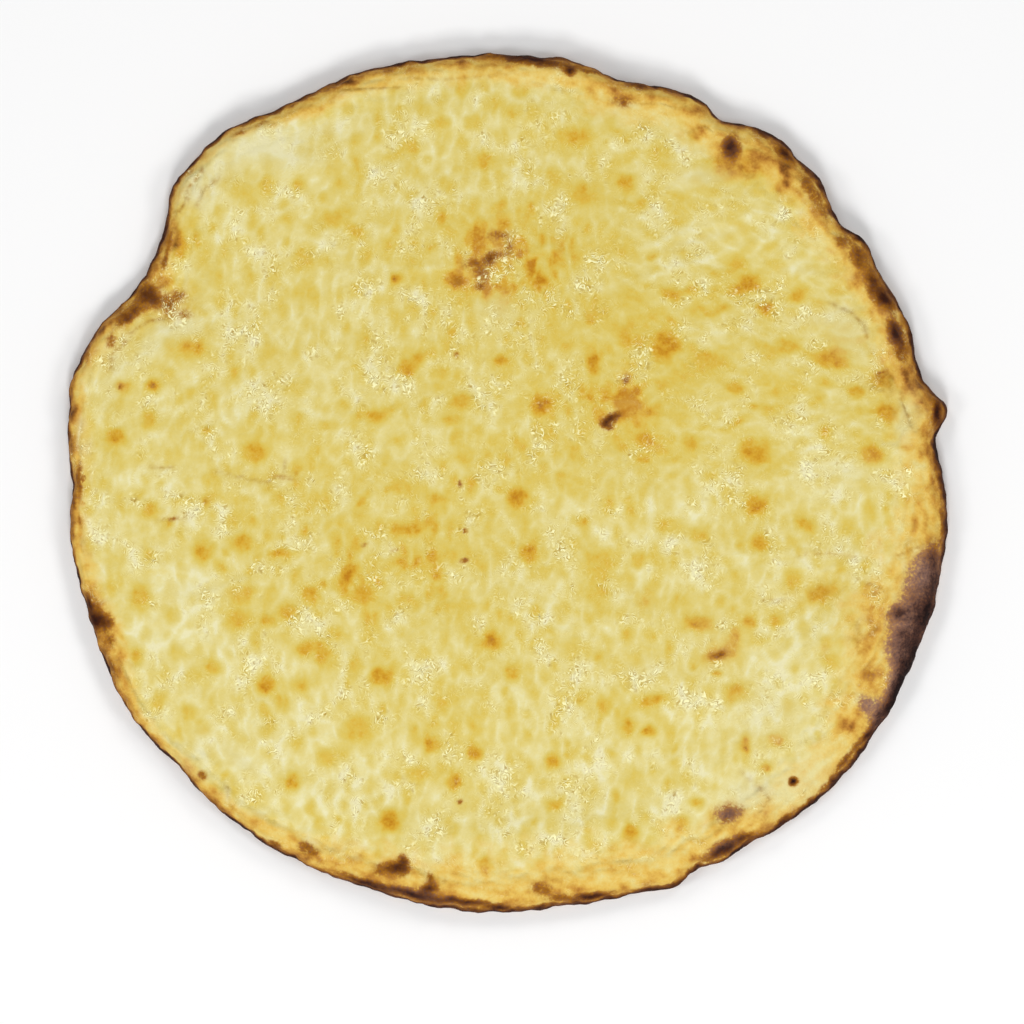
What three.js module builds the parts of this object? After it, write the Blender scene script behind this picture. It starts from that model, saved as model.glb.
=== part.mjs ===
// A cheese-topped flatbread: a thin round of leavened dough, stretched by hand and baked on a hot
// stone, with a layer of melted cheese that reaches nearly to its toasted edge.
//
// Millimetres, +Z up. The origin is on the table under the middle of the bread. Seen from above,
// +X is the right and +Y the far side. Angles go round the bread in degrees, anticlockwise from +X.

import * as THREE from "three";
import { mergeVertices } from "three/addons/utils/BufferGeometryUtils.js";

// Driving dimensions of the dough
const ROUND_RADIUS = 136.4; // the round before its bulges and dents
const WIDEST_HEIGHT = 2.4; // the edge is widest just above the table
const FOOT_TUCK = 2.2; // how far the flat underside stays inside the widest line
const DOUGH_HEIGHT = 7.2; // top of the dough under the cheese, away from the rim
const CROWN_HEIGHT = 11.2; // top of the rim, before its puffs
const CRUST_WIDTH = 9.5; // bare crust between the outline and the cheese, where neither bulges
const CROWN_PLACE = 0.6; // the rim is highest at this share of the bare crust's width
const CROWN_DROP = 2.4; // from the rim's top down to the dough at the cheese's edge
const RIM_SLOPE_START = 0.8; // share of the cheese's radius where the dough starts to climb to the rim
const BROAD_REACH = 6; // the cheese's edge follows only the bulges that reach this many degrees

// Driving dimensions of the cheese
const CHEESE_GAP = 0.3; // the cheese's clearance above the dough that it lies on
const CHEESE_LIP = 0.9; // thickness at its edge
const CHEESE_THICKNESS = 2.3; // thickness away from the edge
const LIP_WIDTH = 0.8; // how far the edge slopes in

// Fineness of the solids
const SPOKES = 144; // points round each ring
const EDGE_STEPS = 5; // rings from the widest line up to the rim's top
const FOOT_STEPS = 2; // rings from the widest line down to the table
const CHEESE_RINGS = [0.965, 0.92, 0.86, 0.79, 0.71, 0.62, 0.52, 0.41, 0.29, 0.15]; // shares of its radius

// Bulges and dents of the outline. Each has its middle (at), how far it reaches to either side
// (reach) and how far it goes out (by), or in where that is negative.
const OUTLINE = {
  rightEdge: { at: 352, reach: 12, by: 2.5 },
  belowNubDent: { at: 4.5, reach: 3, by: -1.4 },
  rightNub: { at: 9.8, reach: 2.2, by: 4.6 },
  aboveNubDent: { at: 16, reach: 4, by: -1.4 },
  topRightPuff: { at: 46, reach: 3.4, by: 1.6 },
  topRightShoulder: { at: 52.5, reach: 3.2, by: 2.6 },
  topRightNotch: { at: 38.4, reach: 2.8, by: -3.0 },
  aboveRightDent: { at: 30, reach: 3.4, by: -1.2 },
  shoulderNotch: { at: 59.8, reach: 2.6, by: -3.0 },
  topRightFlat: { at: 74.5, reach: 5.5, by: -3.6 },
  topSwell: { at: 112, reach: 10, by: 2.6 },
  upperLeftBulge: { at: 130.5, reach: 8.6, by: 7.0 },
  upperLeftCorner: { at: 138, reach: 3.6, by: 2.4 },
  leftNotch: { at: 150, reach: 6.4, by: -4.8 },
  leftBulge: { at: 166, reach: 7.5, by: 3.4 },
  leftSide: { at: 187, reach: 34, by: 3.4 },
  leftDent: { at: 180.5, reach: 3.6, by: -1.2 },
  lowerLeftSwell: { at: 212, reach: 9, by: 1.6 },
  lowerLeftDent: { at: 221, reach: 2.6, by: -1.2 },
  bottomLeft: { at: 232, reach: 9, by: 0.8 },
  bottomDent: { at: 253, reach: 10, by: -1.0 },
  bottomFlat: { at: 278, reach: 12, by: -1.6 },
  bottomKnuckle: { at: 291.5, reach: 2.6, by: 1.2 },
  bottomNotch: { at: 296, reach: 1.6, by: -1.3 },
  lowerRightSwell: { at: 326, reach: 22, by: 3.6 },
  lowerRightLobe: { at: 317, reach: 5, by: 1.0 },
  charDent: { at: 304, reach: 2, by: -1.0 },
};

// Where the bare crust is wider, or narrower, than its usual width
const BARE_CRUST = {
  left: { at: 190, reach: 34, by: -5.2 },
  leftNotch: { at: 150, reach: 7, by: 3.2 },
  topRight: { at: 44, reach: 17, by: 3.6 },
  right: { at: 4, reach: 20, by: 5.2 },
  lowerRight: { at: 324, reach: 22, by: 10.5 },
  bottom: { at: 274, reach: 20, by: 4.2 },
};

// Where the rim is puffed up, or thin
const RIM_PUFFS = {
  charredSide: { at: 334, reach: 17, by: 2.8 },
  rightRoll: { at: 5, reach: 10, by: 1.5 },
  topRightBubble: { at: 42, reach: 15, by: 2.2 },
  topBand: { at: 86, reach: 14, by: 0.8 },
  upperLeftFold: { at: 131, reach: 8, by: 1.0 },
  leftNotch: { at: 149, reach: 6, by: -1.8 },
  thinLeft: { at: 188, reach: 30, by: -1.6 },
  bottomRoll: { at: 272, reach: 22, by: 1.6 },
  bottomLeftKnot: { at: 254, reach: 5, by: 0.9 },
};

// Broad swells and hollows of the whole loaf, by place, radius and height
const SWELLS = [
  { x: -8, y: 62, radius: 34, by: 0.9 },
  { x: 62, y: 30, radius: 30, by: 0.7 },
  { x: 74, y: -52, radius: 26, by: 0.9 },
  { x: -52, y: -58, radius: 36, by: 0.6 },
  { x: -84, y: 18, radius: 28, by: 0.4 },
  { x: 4, y: -4, radius: 32, by: -0.7 },
  { x: -62, y: 64, radius: 24, by: -0.4 },
];

// Low blisters of the cheese, scattered by a seeded draw
const BLISTERS = 70;
const BLISTER_RADIUS = [5.5, 12]; // smallest and largest
const BLISTER_HEIGHT = [0.25, 0.75];
const BLISTER_FIELD = 118; // they lie within this radius
const SEED = 20641;

const FULL_TURN = 360;
const HALF_TURN = FULL_TURN / 2;

// A hump round the rim: 1 at its middle, falling away to nothing past its reach
function hump(angle, { at, reach }) {
  const turn = ((((angle - at) % FULL_TURN) + FULL_TURN + HALF_TURN) % FULL_TURN) - HALF_TURN;
  return Math.exp(-((turn / reach) ** 2));
}

function sumOfHumps(angle, humps) {
  return Object.values(humps).reduce((sum, one) => sum + one.by * hump(angle, one), 0);
}

// The same kind of hump by its place on the bread
function sumOfSwells(x, y, swells) {
  return swells.reduce((sum, swell) => {
    const distance = Math.hypot(x - swell.x, y - swell.y) / swell.radius;
    return sum + swell.by * Math.exp(-(distance ** 2));
  }, 0);
}

// A repeatable random number from 0 to 1 (the mulberry32 generator)
function seededRandom(seed) {
  let state = seed;
  return () => {
    state = (state + 0x6d2b79f5) | 0;
    let mixed = Math.imul(state ^ (state >>> 15), 1 | state);
    mixed = (mixed + Math.imul(mixed ^ (mixed >>> 7), 61 | mixed)) ^ mixed;
    return ((mixed ^ (mixed >>> 14)) >>> 0) / 2 ** 32;
  };
}

function scatterBlisters() {
  const random = seededRandom(SEED);
  const between = ([low, high]) => low + (high - low) * random();
  return Array.from({ length: BLISTERS }, () => {
    const distance = BLISTER_FIELD * Math.sqrt(random());
    const direction = 2 * Math.PI * random();
    return {
      x: distance * Math.cos(direction),
      y: distance * Math.sin(direction),
      radius: between(BLISTER_RADIUS),
      by: between(BLISTER_HEIGHT),
    };
  });
}

const BROAD_OUTLINE = Object.values(OUTLINE).filter(({ reach }) => reach >= BROAD_REACH);

const outlineRadius = (angle) => ROUND_RADIUS + sumOfHumps(angle, OUTLINE);
const broadRadius = (angle) => ROUND_RADIUS + sumOfHumps(angle, BROAD_OUTLINE);
const cheeseRadius = (angle) => broadRadius(angle) - CRUST_WIDTH - sumOfHumps(angle, BARE_CRUST);
const crustWidth = (angle) => outlineRadius(angle) - cheeseRadius(angle);
const crownHeight = (angle) => CROWN_HEIGHT + sumOfHumps(angle, RIM_PUFFS);

// Top of the dough under the cheese, at a share of the cheese's radius: nearly flat inside, then
// climbing smoothly to the rim
function doughTop(angle, share, x, y) {
  const climb = THREE.MathUtils.smoothstep(share, RIM_SLOPE_START, 1);
  const inside = DOUGH_HEIGHT + sumOfSwells(x, y, SWELLS);
  return THREE.MathUtils.lerp(inside, crownHeight(angle) - CROWN_DROP, climb);
}

// A closed ring of points round the bread, from its radius and height at each angle
function ring(radiusAt, heightAt) {
  return Array.from({ length: SPOKES }, (_, spoke) => {
    const angle = (spoke * FULL_TURN) / SPOKES;
    const radians = THREE.MathUtils.degToRad(angle);
    const x = radiusAt(angle) * Math.cos(radians);
    const y = radiusAt(angle) * Math.sin(radians);
    return new THREE.Vector3(x, y, heightAt(angle, x, y));
  });
}

// A ring on the dough where the cheese lies, raised by a thickness
function ringOnDough(share, raisedBy) {
  return ring(
    (angle) => share * cheeseRadius(angle),
    (angle, x, y) => doughTop(angle, share, x, y) + raisedBy(x, y),
  );
}

// The corners of one face of a flat, round solid: rings from the rim inwards, closed at a pole
function face(rings, pole, facesUp) {
  const corners = [];
  const addTriangle = (a, b, c) => corners.push(a, ...(facesUp ? [b, c] : [c, b]));
  rings.forEach((outer, row) => {
    const inner = rings[row + 1];
    outer.forEach((corner, spoke) => {
      const next = (spoke + 1) % SPOKES;
      if (inner) {
        addTriangle(corner, outer[next], inner[next]);
        addTriangle(corner, inner[next], inner[spoke]);
      } else {
        addTriangle(corner, outer[next], pole);
      }
    });
  });
  return corners;
}

// A closed solid from its upper and lower faces, which share their first ring
function solid(upperFace, lowerFace) {
  const geometry = mergeVertices(new THREE.BufferGeometry().setFromPoints([...upperFace, ...lowerFace]));
  geometry.computeVertexNormals();
  return geometry;
}

// One step of the rim's rounded side: a quarter of an ellipse between two radii and two heights
function sideRing(step, steps, tuckAt, topAt) {
  const turn = (step / steps) * (Math.PI / 2);
  return ring(
    (angle) => outlineRadius(angle) - tuckAt(angle) * (1 - Math.cos(turn)),
    (angle) => THREE.MathUtils.lerp(WIDEST_HEIGHT, topAt(angle), Math.sin(turn)),
  );
}

function makeBread() {
  const widest = ring(outlineRadius, () => WIDEST_HEIGHT);
  const side = Array.from({ length: EDGE_STEPS }, (_, step) =>
    sideRing(step + 1, EDGE_STEPS, (angle) => CROWN_PLACE * crustWidth(angle), crownHeight),
  );
  const foot = Array.from({ length: FOOT_STEPS }, (_, step) =>
    sideRing(step + 1, FOOT_STEPS, () => FOOT_TUCK, () => 0),
  );
  const underCheese = [1, ...CHEESE_RINGS].map((share) => ringOnDough(share, () => 0));
  const middle = new THREE.Vector3(0, 0, doughTop(0, 0, 0, 0));
  return solid(
    face([widest, ...side, ...underCheese], middle, true),
    face([widest, ...foot], new THREE.Vector3(0, 0, 0), false),
  );
}

function makeCheese() {
  const blisters = scatterBlisters();
  const underside = () => CHEESE_GAP;
  const top = (x, y) => CHEESE_GAP + CHEESE_THICKNESS + sumOfSwells(x, y, blisters);
  const edge = ringOnDough(1, underside);
  const lip = ring(
    (angle) => cheeseRadius(angle) - LIP_WIDTH,
    (angle, x, y) => doughTop(angle, 1, x, y) + CHEESE_GAP + CHEESE_LIP,
  );
  const upper = CHEESE_RINGS.map((share) => ringOnDough(share, top));
  const lower = CHEESE_RINGS.map((share) => ringOnDough(share, underside));
  const middle = doughTop(0, 0, 0, 0);
  return solid(
    face([edge, lip, ...upper], new THREE.Vector3(0, 0, middle + top(0, 0)), true),
    face([edge, ...lower], new THREE.Vector3(0, 0, middle + underside()), false),
  );
}

const toastedDough = new THREE.MeshStandardMaterial({ color: 0xd8a552, roughness: 0.75, metalness: 0 });
const meltedCheese = new THREE.MeshStandardMaterial({ color: 0xe4cf80, roughness: 0.4, metalness: 0 });

const bread = new THREE.Mesh(makeBread(), toastedDough);
bread.name = "bread";

const cheese = new THREE.Mesh(makeCheese(), meltedCheese);
cheese.name = "cheese";

const flatbread = new THREE.Group();
flatbread.add(bread, cheese);

// The outline isn't symmetrical, so the two pieces move together until it is centred on the origin
const outlineMiddle = new THREE.Box3().setFromObject(bread).getCenter(new THREE.Vector3());
bread.position.set(-outlineMiddle.x, -outlineMiddle.y, 0);
cheese.position.copy(bread.position);

export default flatbread;
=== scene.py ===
# %% [markdown]
# # A flatbread topped with melted cheese
# The real thing is a thin round of leavened dough, stretched by hand, covered nearly to its edge with
# cheese and baked on a hot stone. The stone toasts the edge dark, the rim puffs up golden, and the
# cheese melts into pale strands with golden blisters between them.
#
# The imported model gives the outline, the height of the rim and the place of the cheese. This lesson
# dresses its two solids, the bread and the cheese, with fine meshes and baked finishes.

import bpy
import numpy as np
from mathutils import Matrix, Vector
from mathutils.bvhtree import BVHTree


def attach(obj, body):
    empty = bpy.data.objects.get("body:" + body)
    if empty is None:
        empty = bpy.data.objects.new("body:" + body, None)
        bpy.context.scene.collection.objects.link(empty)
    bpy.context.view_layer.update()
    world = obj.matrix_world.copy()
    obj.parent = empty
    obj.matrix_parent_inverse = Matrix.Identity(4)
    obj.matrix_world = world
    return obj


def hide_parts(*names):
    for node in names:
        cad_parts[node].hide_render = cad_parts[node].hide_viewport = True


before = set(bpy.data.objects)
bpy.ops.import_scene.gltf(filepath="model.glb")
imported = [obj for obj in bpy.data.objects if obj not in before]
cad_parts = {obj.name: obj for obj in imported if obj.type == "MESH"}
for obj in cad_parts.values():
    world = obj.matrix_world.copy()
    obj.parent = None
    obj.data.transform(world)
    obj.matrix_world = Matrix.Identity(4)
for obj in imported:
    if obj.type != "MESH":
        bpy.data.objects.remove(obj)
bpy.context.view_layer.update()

# %% [markdown]
# ## Units and places
# Everything is worked out in millimetres and turned into metres when it reaches a mesh. Marks such as
# blisters are placed by where they lie in the photograph, which looks straight down, and one scale
# turns its pixels into millimetres on the bread.

# %% Units and places
MM = 0.001
PHOTO_SIDE = 1024  # pixels
BREAD_WIDTH = 280.0  # mm
BREAD_PIXELS = 884
PHOTO_MIDDLE = (508, 483)  # the pixel over the bread's middle
PIXEL = BREAD_WIDTH / BREAD_PIXELS


def on_bread(across, down):
    """The place on the bread, in mm, of a pixel of the photograph."""
    return (across - PHOTO_MIDDLE[0]) * PIXEL, (PHOTO_MIDDLE[1] - down) * PIXEL


print("one pixel is", round(PIXEL, 4), "mm")

# %% [markdown]
# ## The camera
# The photograph was taken from straight above, so the camera hangs over the bread with its top towards
# +Y. A long lens keeps the rim from leaning outwards, as it does close to a short one, so the outline
# near the table and the cheese on top are met by the same scale.

# %% The camera
LENS = 450.0  # mm
SENSOR = 36.0  # mm
TOP_HEIGHT = 5.0  # mm, the level at which the photograph's scale is met

camera_data = bpy.data.cameras.new("overhead_camera")
camera_data.lens = LENS
camera_data.sensor_width = SENSOR
camera = bpy.data.objects.new("overhead_camera", camera_data)
bpy.context.scene.collection.objects.link(camera)
bpy.context.scene.camera = camera
view_width = PHOTO_SIDE * PIXEL
view_x, view_y = on_bread(PHOTO_SIDE / 2, PHOTO_SIDE / 2)
camera_height = TOP_HEIGHT + view_width * LENS / SENSOR
camera.location = (view_x * MM, view_y * MM, camera_height * MM)
camera_data.clip_start = 0.01
camera_data.clip_end = 20.0
print("the camera hangs", round(camera_height), "mm above the table")

# %% [markdown]
# ## Table and light
# A pale matt table and soft studio light. The sky is dim and five softboxes stand round the bread, well
# up but off to the side: level cheese reflects only the dim sky towards the camera and keeps its full
# colour, while a wrinkle of oily cheese that tilts just so catches a softbox and sparkles.

# %% Table and light
SKY = 0.32
TABLE_SIDE = 6.0  # m
TABLE_GREY = (0.93, 0.93, 0.93, 1)
SOFTBOX_RING = 1.15  # m
SOFTBOX_HEIGHT = 1.4
SOFTBOX_SIDE = 0.45
SOFTBOX_POWERS = [12.5, 5.6, 4.0, 4.0, 5.6]  # W, the first one in front

bpy.context.scene.view_settings.view_transform = "Standard"
bpy.ops.object.select_all(action="DESELECT")
bpy.ops.mesh.primitive_plane_add(size=TABLE_SIDE, location=(0, 0, 0))
table = bpy.context.object
table.name = "table"
table_paint = bpy.data.materials.new("pale_table")
table_paint.use_nodes = True
paint = table_paint.node_tree.nodes["Principled BSDF"].inputs
paint["Base Color"].default_value = TABLE_GREY
paint["Roughness"].default_value = 0.9
table.data.materials.append(table_paint)

sky = bpy.data.worlds.new("studio")
bpy.context.scene.world = sky
sky.use_nodes = True
background = sky.node_tree.nodes["Background"].inputs
background["Color"].default_value = (1.0, 1.0, 1.0, 1)
background["Strength"].default_value = SKY

for number, power in enumerate(SOFTBOX_POWERS):
    turn = 2 * np.pi * number / len(SOFTBOX_POWERS) - np.pi / 2
    lamp = bpy.data.lights.new(f"softbox_{number}", "AREA")
    lamp.size = SOFTBOX_SIDE
    lamp.energy = power
    softbox = bpy.data.objects.new(f"softbox_{number}", lamp)
    softbox.location = (SOFTBOX_RING * np.cos(turn), SOFTBOX_RING * np.sin(turn), SOFTBOX_HEIGHT)
    softbox.rotation_euler = (-softbox.location).to_track_quat("-Z", "Y").to_euler()
    bpy.context.scene.collection.objects.link(softbox)
print(len(bpy.data.lights), "softboxes")

# %% [markdown]
# ## Uneven heights
# Dough and cheese are uneven at every size. `ripple` gives smooth random heights whose bumps have a
# chosen width, by blending the slopes at the corners of a grid. `ridge` folds them over, which leaves
# sharp crests like the wrinkles of a skin.

# %% Uneven heights
LATTICE = 256


def ripple(x, y, width, seed):
    """Smooth random heights of about -1 to 1 at x and y, with bumps that are width mm across."""
    turns = np.random.default_rng(seed).uniform(0, 2 * np.pi, (LATTICE, LATTICE))
    lean = np.random.default_rng(seed + 1).uniform(0, 2 * np.pi)
    u = (x * np.cos(lean) - y * np.sin(lean)) / width
    v = (x * np.sin(lean) + y * np.cos(lean)) / width
    left, low = np.floor(u).astype(int), np.floor(v).astype(int)
    u, v = u - left, v - low

    def corner(right, up):
        turn = turns[(left + right) % LATTICE, (low + up) % LATTICE]
        return np.cos(turn) * (u - right) + np.sin(turn) * (v - up)

    across = u * u * u * (u * (u * 6 - 15) + 10)
    along = v * v * v * (v * (v * 6 - 15) + 10)
    bottom = corner(0, 0) * (1 - across) + corner(1, 0) * across
    top = corner(0, 1) * (1 - across) + corner(1, 1) * across
    return 1.6 * (bottom * (1 - along) + top * along)


def ridge(x, y, width, seed):
    """Heights from 0 to 1 with sharp, wandering crests."""
    return (1 - np.minimum(np.abs(ripple(x, y, width, seed)) * 2, 1)) ** 2


def smooth_step(value, low, high):
    """0 below low, 1 above high and a smooth rise between them."""
    share = np.clip((value - low) / (high - low), 0, 1)
    return share * share * (3 - 2 * share)


def blend(first, second, share):
    return first + (second - first) * share


walk = np.linspace(0, 100, 2001)
tried = ripple(walk, walk, 4.0, 1)
print("ripples run from", tried.min().round(2), "to", tried.max().round(2))

# %% [markdown]
# ## Marks on the bread
# Blisters, burns, oily patches and folds are all marks: an oval or a line at a place, with a strength.
# `cover` lays ovals over each other as layers of paint do, so that two of them never add up to more
# than full. `groove` gives how near each point is to a line.

# %% Marks on the bread
FAR = 1e3  # mm, farther than any line
LAP_EDGE = 0.35  # mm on either side of its line, in which a lap rises


def cover(x, y, marks, sharpness=1.25):
    """How strongly the ovals in marks cover each point: each is (across, down, width, height, strength)
    in the photograph's pixels, with an optional turn in degrees, anticlockwise."""
    bare = np.ones_like(x)
    for across, down, width, height, strength, *turn in marks:
        middle_x, middle_y = on_bread(across, down)
        angle = np.radians(turn[0] if turn else 0)
        along = (x - middle_x) * np.cos(angle) + (y - middle_y) * np.sin(angle)
        aside = (y - middle_y) * np.cos(angle) - (x - middle_x) * np.sin(angle)
        reach = (along / (width * PIXEL / 2)) ** 2 + (aside / (height * PIXEL / 2)) ** 2
        bare *= 1 - strength * np.exp(-(reach**sharpness))
    return 1 - bare


def distance_to_line(x, y, pixels):
    """How far each point is, in mm, from a line through pixels of the photograph."""
    points = [on_bread(*pixel) for pixel in pixels]
    nearest = np.full_like(x, FAR)
    for (x0, y0), (x1, y1) in zip(points, points[1:]):
        length = (x1 - x0) ** 2 + (y1 - y0) ** 2
        share = np.clip(((x - x0) * (x1 - x0) + (y - y0) * (y1 - y0)) / length, 0, 1)
        nearest = np.minimum(nearest, np.hypot(x - x0 - share * (x1 - x0), y - y0 - share * (y1 - y0)))
    return nearest


def groove(x, y, lines):
    """The depth of the lines at each point: each is (width in mm, depth, pixels)."""
    depth = np.zeros_like(x)
    for width, strength, pixels in lines:
        depth = np.maximum(depth, strength * np.exp(-((distance_to_line(x, y, pixels) / width) ** 2)))
    return depth


def overlap(x, y, laps):
    """The height of folded-over dough: it stands up on the left of each line, as one walks along it, and
    slopes off within its reach. Each lap is (height in mm, reach in mm, pixels)."""
    total = np.zeros_like(x)
    for height, reach, pixels in laps:
        points = [on_bread(*pixel) for pixel in pixels]
        nearest, side, walked = np.full_like(x, FAR), np.zeros_like(x), np.zeros_like(x)
        for number, ((x0, y0), (x1, y1)) in enumerate(zip(points, points[1:])):
            length = np.hypot(x1 - x0, y1 - y0)
            share = np.clip(((x - x0) * (x1 - x0) + (y - y0) * (y1 - y0)) / length**2, 0, 1)
            away = np.hypot(x - x0 - share * (x1 - x0), y - y0 - share * (y1 - y0))
            left = ((x1 - x0) * (y - y0) - (y1 - y0) * (x - x0)) / length
            closer = away < nearest
            nearest, side = np.where(closer, away, nearest), np.where(closer, left, side)
            walked = np.where(closer, (number + share) / (len(points) - 1), walked)
        taper = np.clip(np.minimum(walked, 1 - walked) * 4, 0, 1)
        total += height * taper * smooth_step(side, -LAP_EDGE, LAP_EDGE) * np.exp(-nearest / reach)
    return total


trial = cover(np.array([0.0]), np.array([0.0]), [(*PHOTO_MIDDLE, 20, 20, 0.5)])
print("an oval of strength 0.5 covers its middle by", trial[0].round(2))


# %% [markdown]
# ## Where the marks are
# The browned blisters of the cheese come first: orange-brown ovals, 3 to 8 mm wide. Softer golden
# patches lie between them.

# %% Browned blisters
BLISTERS = [
    (738, 168, 50, 26, 0.7, 15), (757, 158, 24, 30, 0.6), (722, 160, 20, 24, 0.6), (783, 170, 10, 18, 0.8),
    (781, 188, 14, 12, 0.8),
    # upper left
    (395, 279, 9, 9, 0.95), (194, 347, 24, 20, 0.72), (121, 387, 9, 9, 0.85), (129, 386, 7, 12, 0.6),
    (153, 386, 12, 11, 0.9), (149, 420, 14, 18, 0.7), (117, 437, 18, 16, 0.85), (207, 431, 12, 9, 0.6),
    (255, 452, 22, 19, 0.75), (181, 246, 12, 24, 0.85), (197, 240, 9, 14, 0.6), (406, 370, 17, 17, 0.8),
    (420, 358, 22, 9, 0.6, 35), (377, 417, 18, 14, 0.75), (392, 409, 20, 9, 0.5, 30),
    (461, 402, 20, 16, 0.75), (449, 420, 16, 12, 0.65), (444, 373, 12, 11, 0.55), (500, 361, 15, 9, 0.75),
    (151, 511, 16, 13, 0.65), (183, 500, 22, 9, 0.5), (456, 282, 16, 14, 0.6), (356, 140, 10, 12, 0.5),
    # upper right
    (665, 343, 20, 25, 0.88), (750, 283, 22, 18, 0.8), (735, 290, 16, 10, 0.6), (766, 308, 18, 15, 0.85),
    (798, 295, 16, 12, 0.65), (670, 294, 22, 11, 0.6, -10), (692, 291, 16, 9, 0.6),
    (593, 364, 12, 20, 0.75), (541, 405, 20, 18, 1.0), (547, 432, 14, 14, 0.45), (735, 389, 14, 14, 0.6),
    (832, 359, 26, 18, 0.82, -15), (881, 378, 20, 17, 0.8), (856, 393, 16, 12, 0.6),
    (886, 414, 18, 18, 0.75), (872, 454, 22, 19, 0.8), (873, 454, 7, 6, 0.8), (825, 432, 12, 14, 0.65),
    (796, 388, 16, 12, 0.5), (626, 338, 14, 20, 0.5), (575, 137, 34, 20, 0.62), (583, 195, 30, 19, 0.62),
    (626, 184, 15, 18, 0.6), (697, 134, 14, 12, 0.6),
    # lower right
    (756, 453, 26, 21, 0.75), (756, 505, 20, 19, 0.9), (760, 543, 19, 15, 0.78), (691, 447, 15, 15, 0.6),
    (646, 440, 17, 17, 0.65), (806, 525, 20, 13, 0.65, -30), (820, 593, 24, 16, 0.78, 20),
    (699, 623, 24, 13, 0.85, -10), (748, 623, 13, 15, 0.75), (775, 620, 14, 14, 0.65),
    (735, 634, 9, 15, 0.8), (719, 655, 28, 10, 0.9, 15), (730, 647, 12, 16, 0.7), (736, 692, 24, 18, 0.72),
    (716, 672, 9, 5, 0.8), (652, 700, 28, 10, 0.75, 12), (649, 731, 13, 8, 0.9), (628, 728, 11, 17, 0.6),
    (745, 745, 10, 18, 0.88), (776, 740, 16, 14, 0.85), (766, 767, 11, 9, 0.9), (844, 725, 16, 17, 0.8),
    (830, 660, 17, 15, 0.55), (681, 823, 13, 12, 0.75), (630, 831, 13, 15, 0.85), (696, 802, 13, 8, 0.7),
    (552, 761, 15, 15, 0.8), (556, 804, 16, 12, 0.65), (760, 640, 20, 9, 0.5),
    # lower left
    (517, 499, 19, 20, 0.9), (528, 554, 17, 16, 0.8), (438, 500, 20, 11, 0.6), (406, 530, 26, 13, 0.65),
    (401, 486, 15, 13, 0.45), (492, 641, 17, 19, 0.92), (369, 636, 9, 16, 0.5), (323, 652, 16, 27, 0.62),
    (311, 645, 12, 12, 0.5), (382, 677, 17, 15, 0.8), (474, 754, 15, 13, 0.95), (454, 781, 13, 17, 0.88),
    (390, 821, 19, 20, 0.92), (293, 781, 14, 14, 0.88), (358, 730, 25, 27, 0.68), (328, 757, 20, 17, 0.6),
    (431, 743, 17, 16, 0.7), (420, 773, 22, 16, 0.62), (485, 863, 11, 14, 0.75),
    (347, 576, 11, 22, 0.97, -10), (364, 594, 20, 18, 0.78), (282, 553, 20, 8, 0.75),
    (213, 667, 16, 15, 0.7), (267, 685, 18, 17, 0.82), (300, 686, 14, 14, 0.6), (137, 657, 11, 15, 0.72),
    (202, 553, 16, 16, 0.75), (243, 543, 25, 15, 0.65), (241, 594, 30, 21, 0.62), (141, 597, 18, 24, 0.66),
    (237, 620, 24, 20, 0.68), (267, 620, 16, 15, 0.68), (290, 612, 17, 16, 0.7), (311, 594, 16, 19, 0.7),
    (178, 652, 15, 15, 0.5), (195, 676, 17, 14, 0.5), (188, 712, 15, 15, 0.55), (303, 649, 12, 12, 0.6),
    (160, 701, 12, 22, 0.55, -30), (512, 672, 14, 14, 0.65), (335, 632, 12, 12, 0.5),
    (407, 600, 18, 14, 0.55), (250, 772, 12, 12, 0.4), (450, 700, 26, 14, 0.4, 40),
]
print(len(BLISTERS), "browned blisters")

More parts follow.
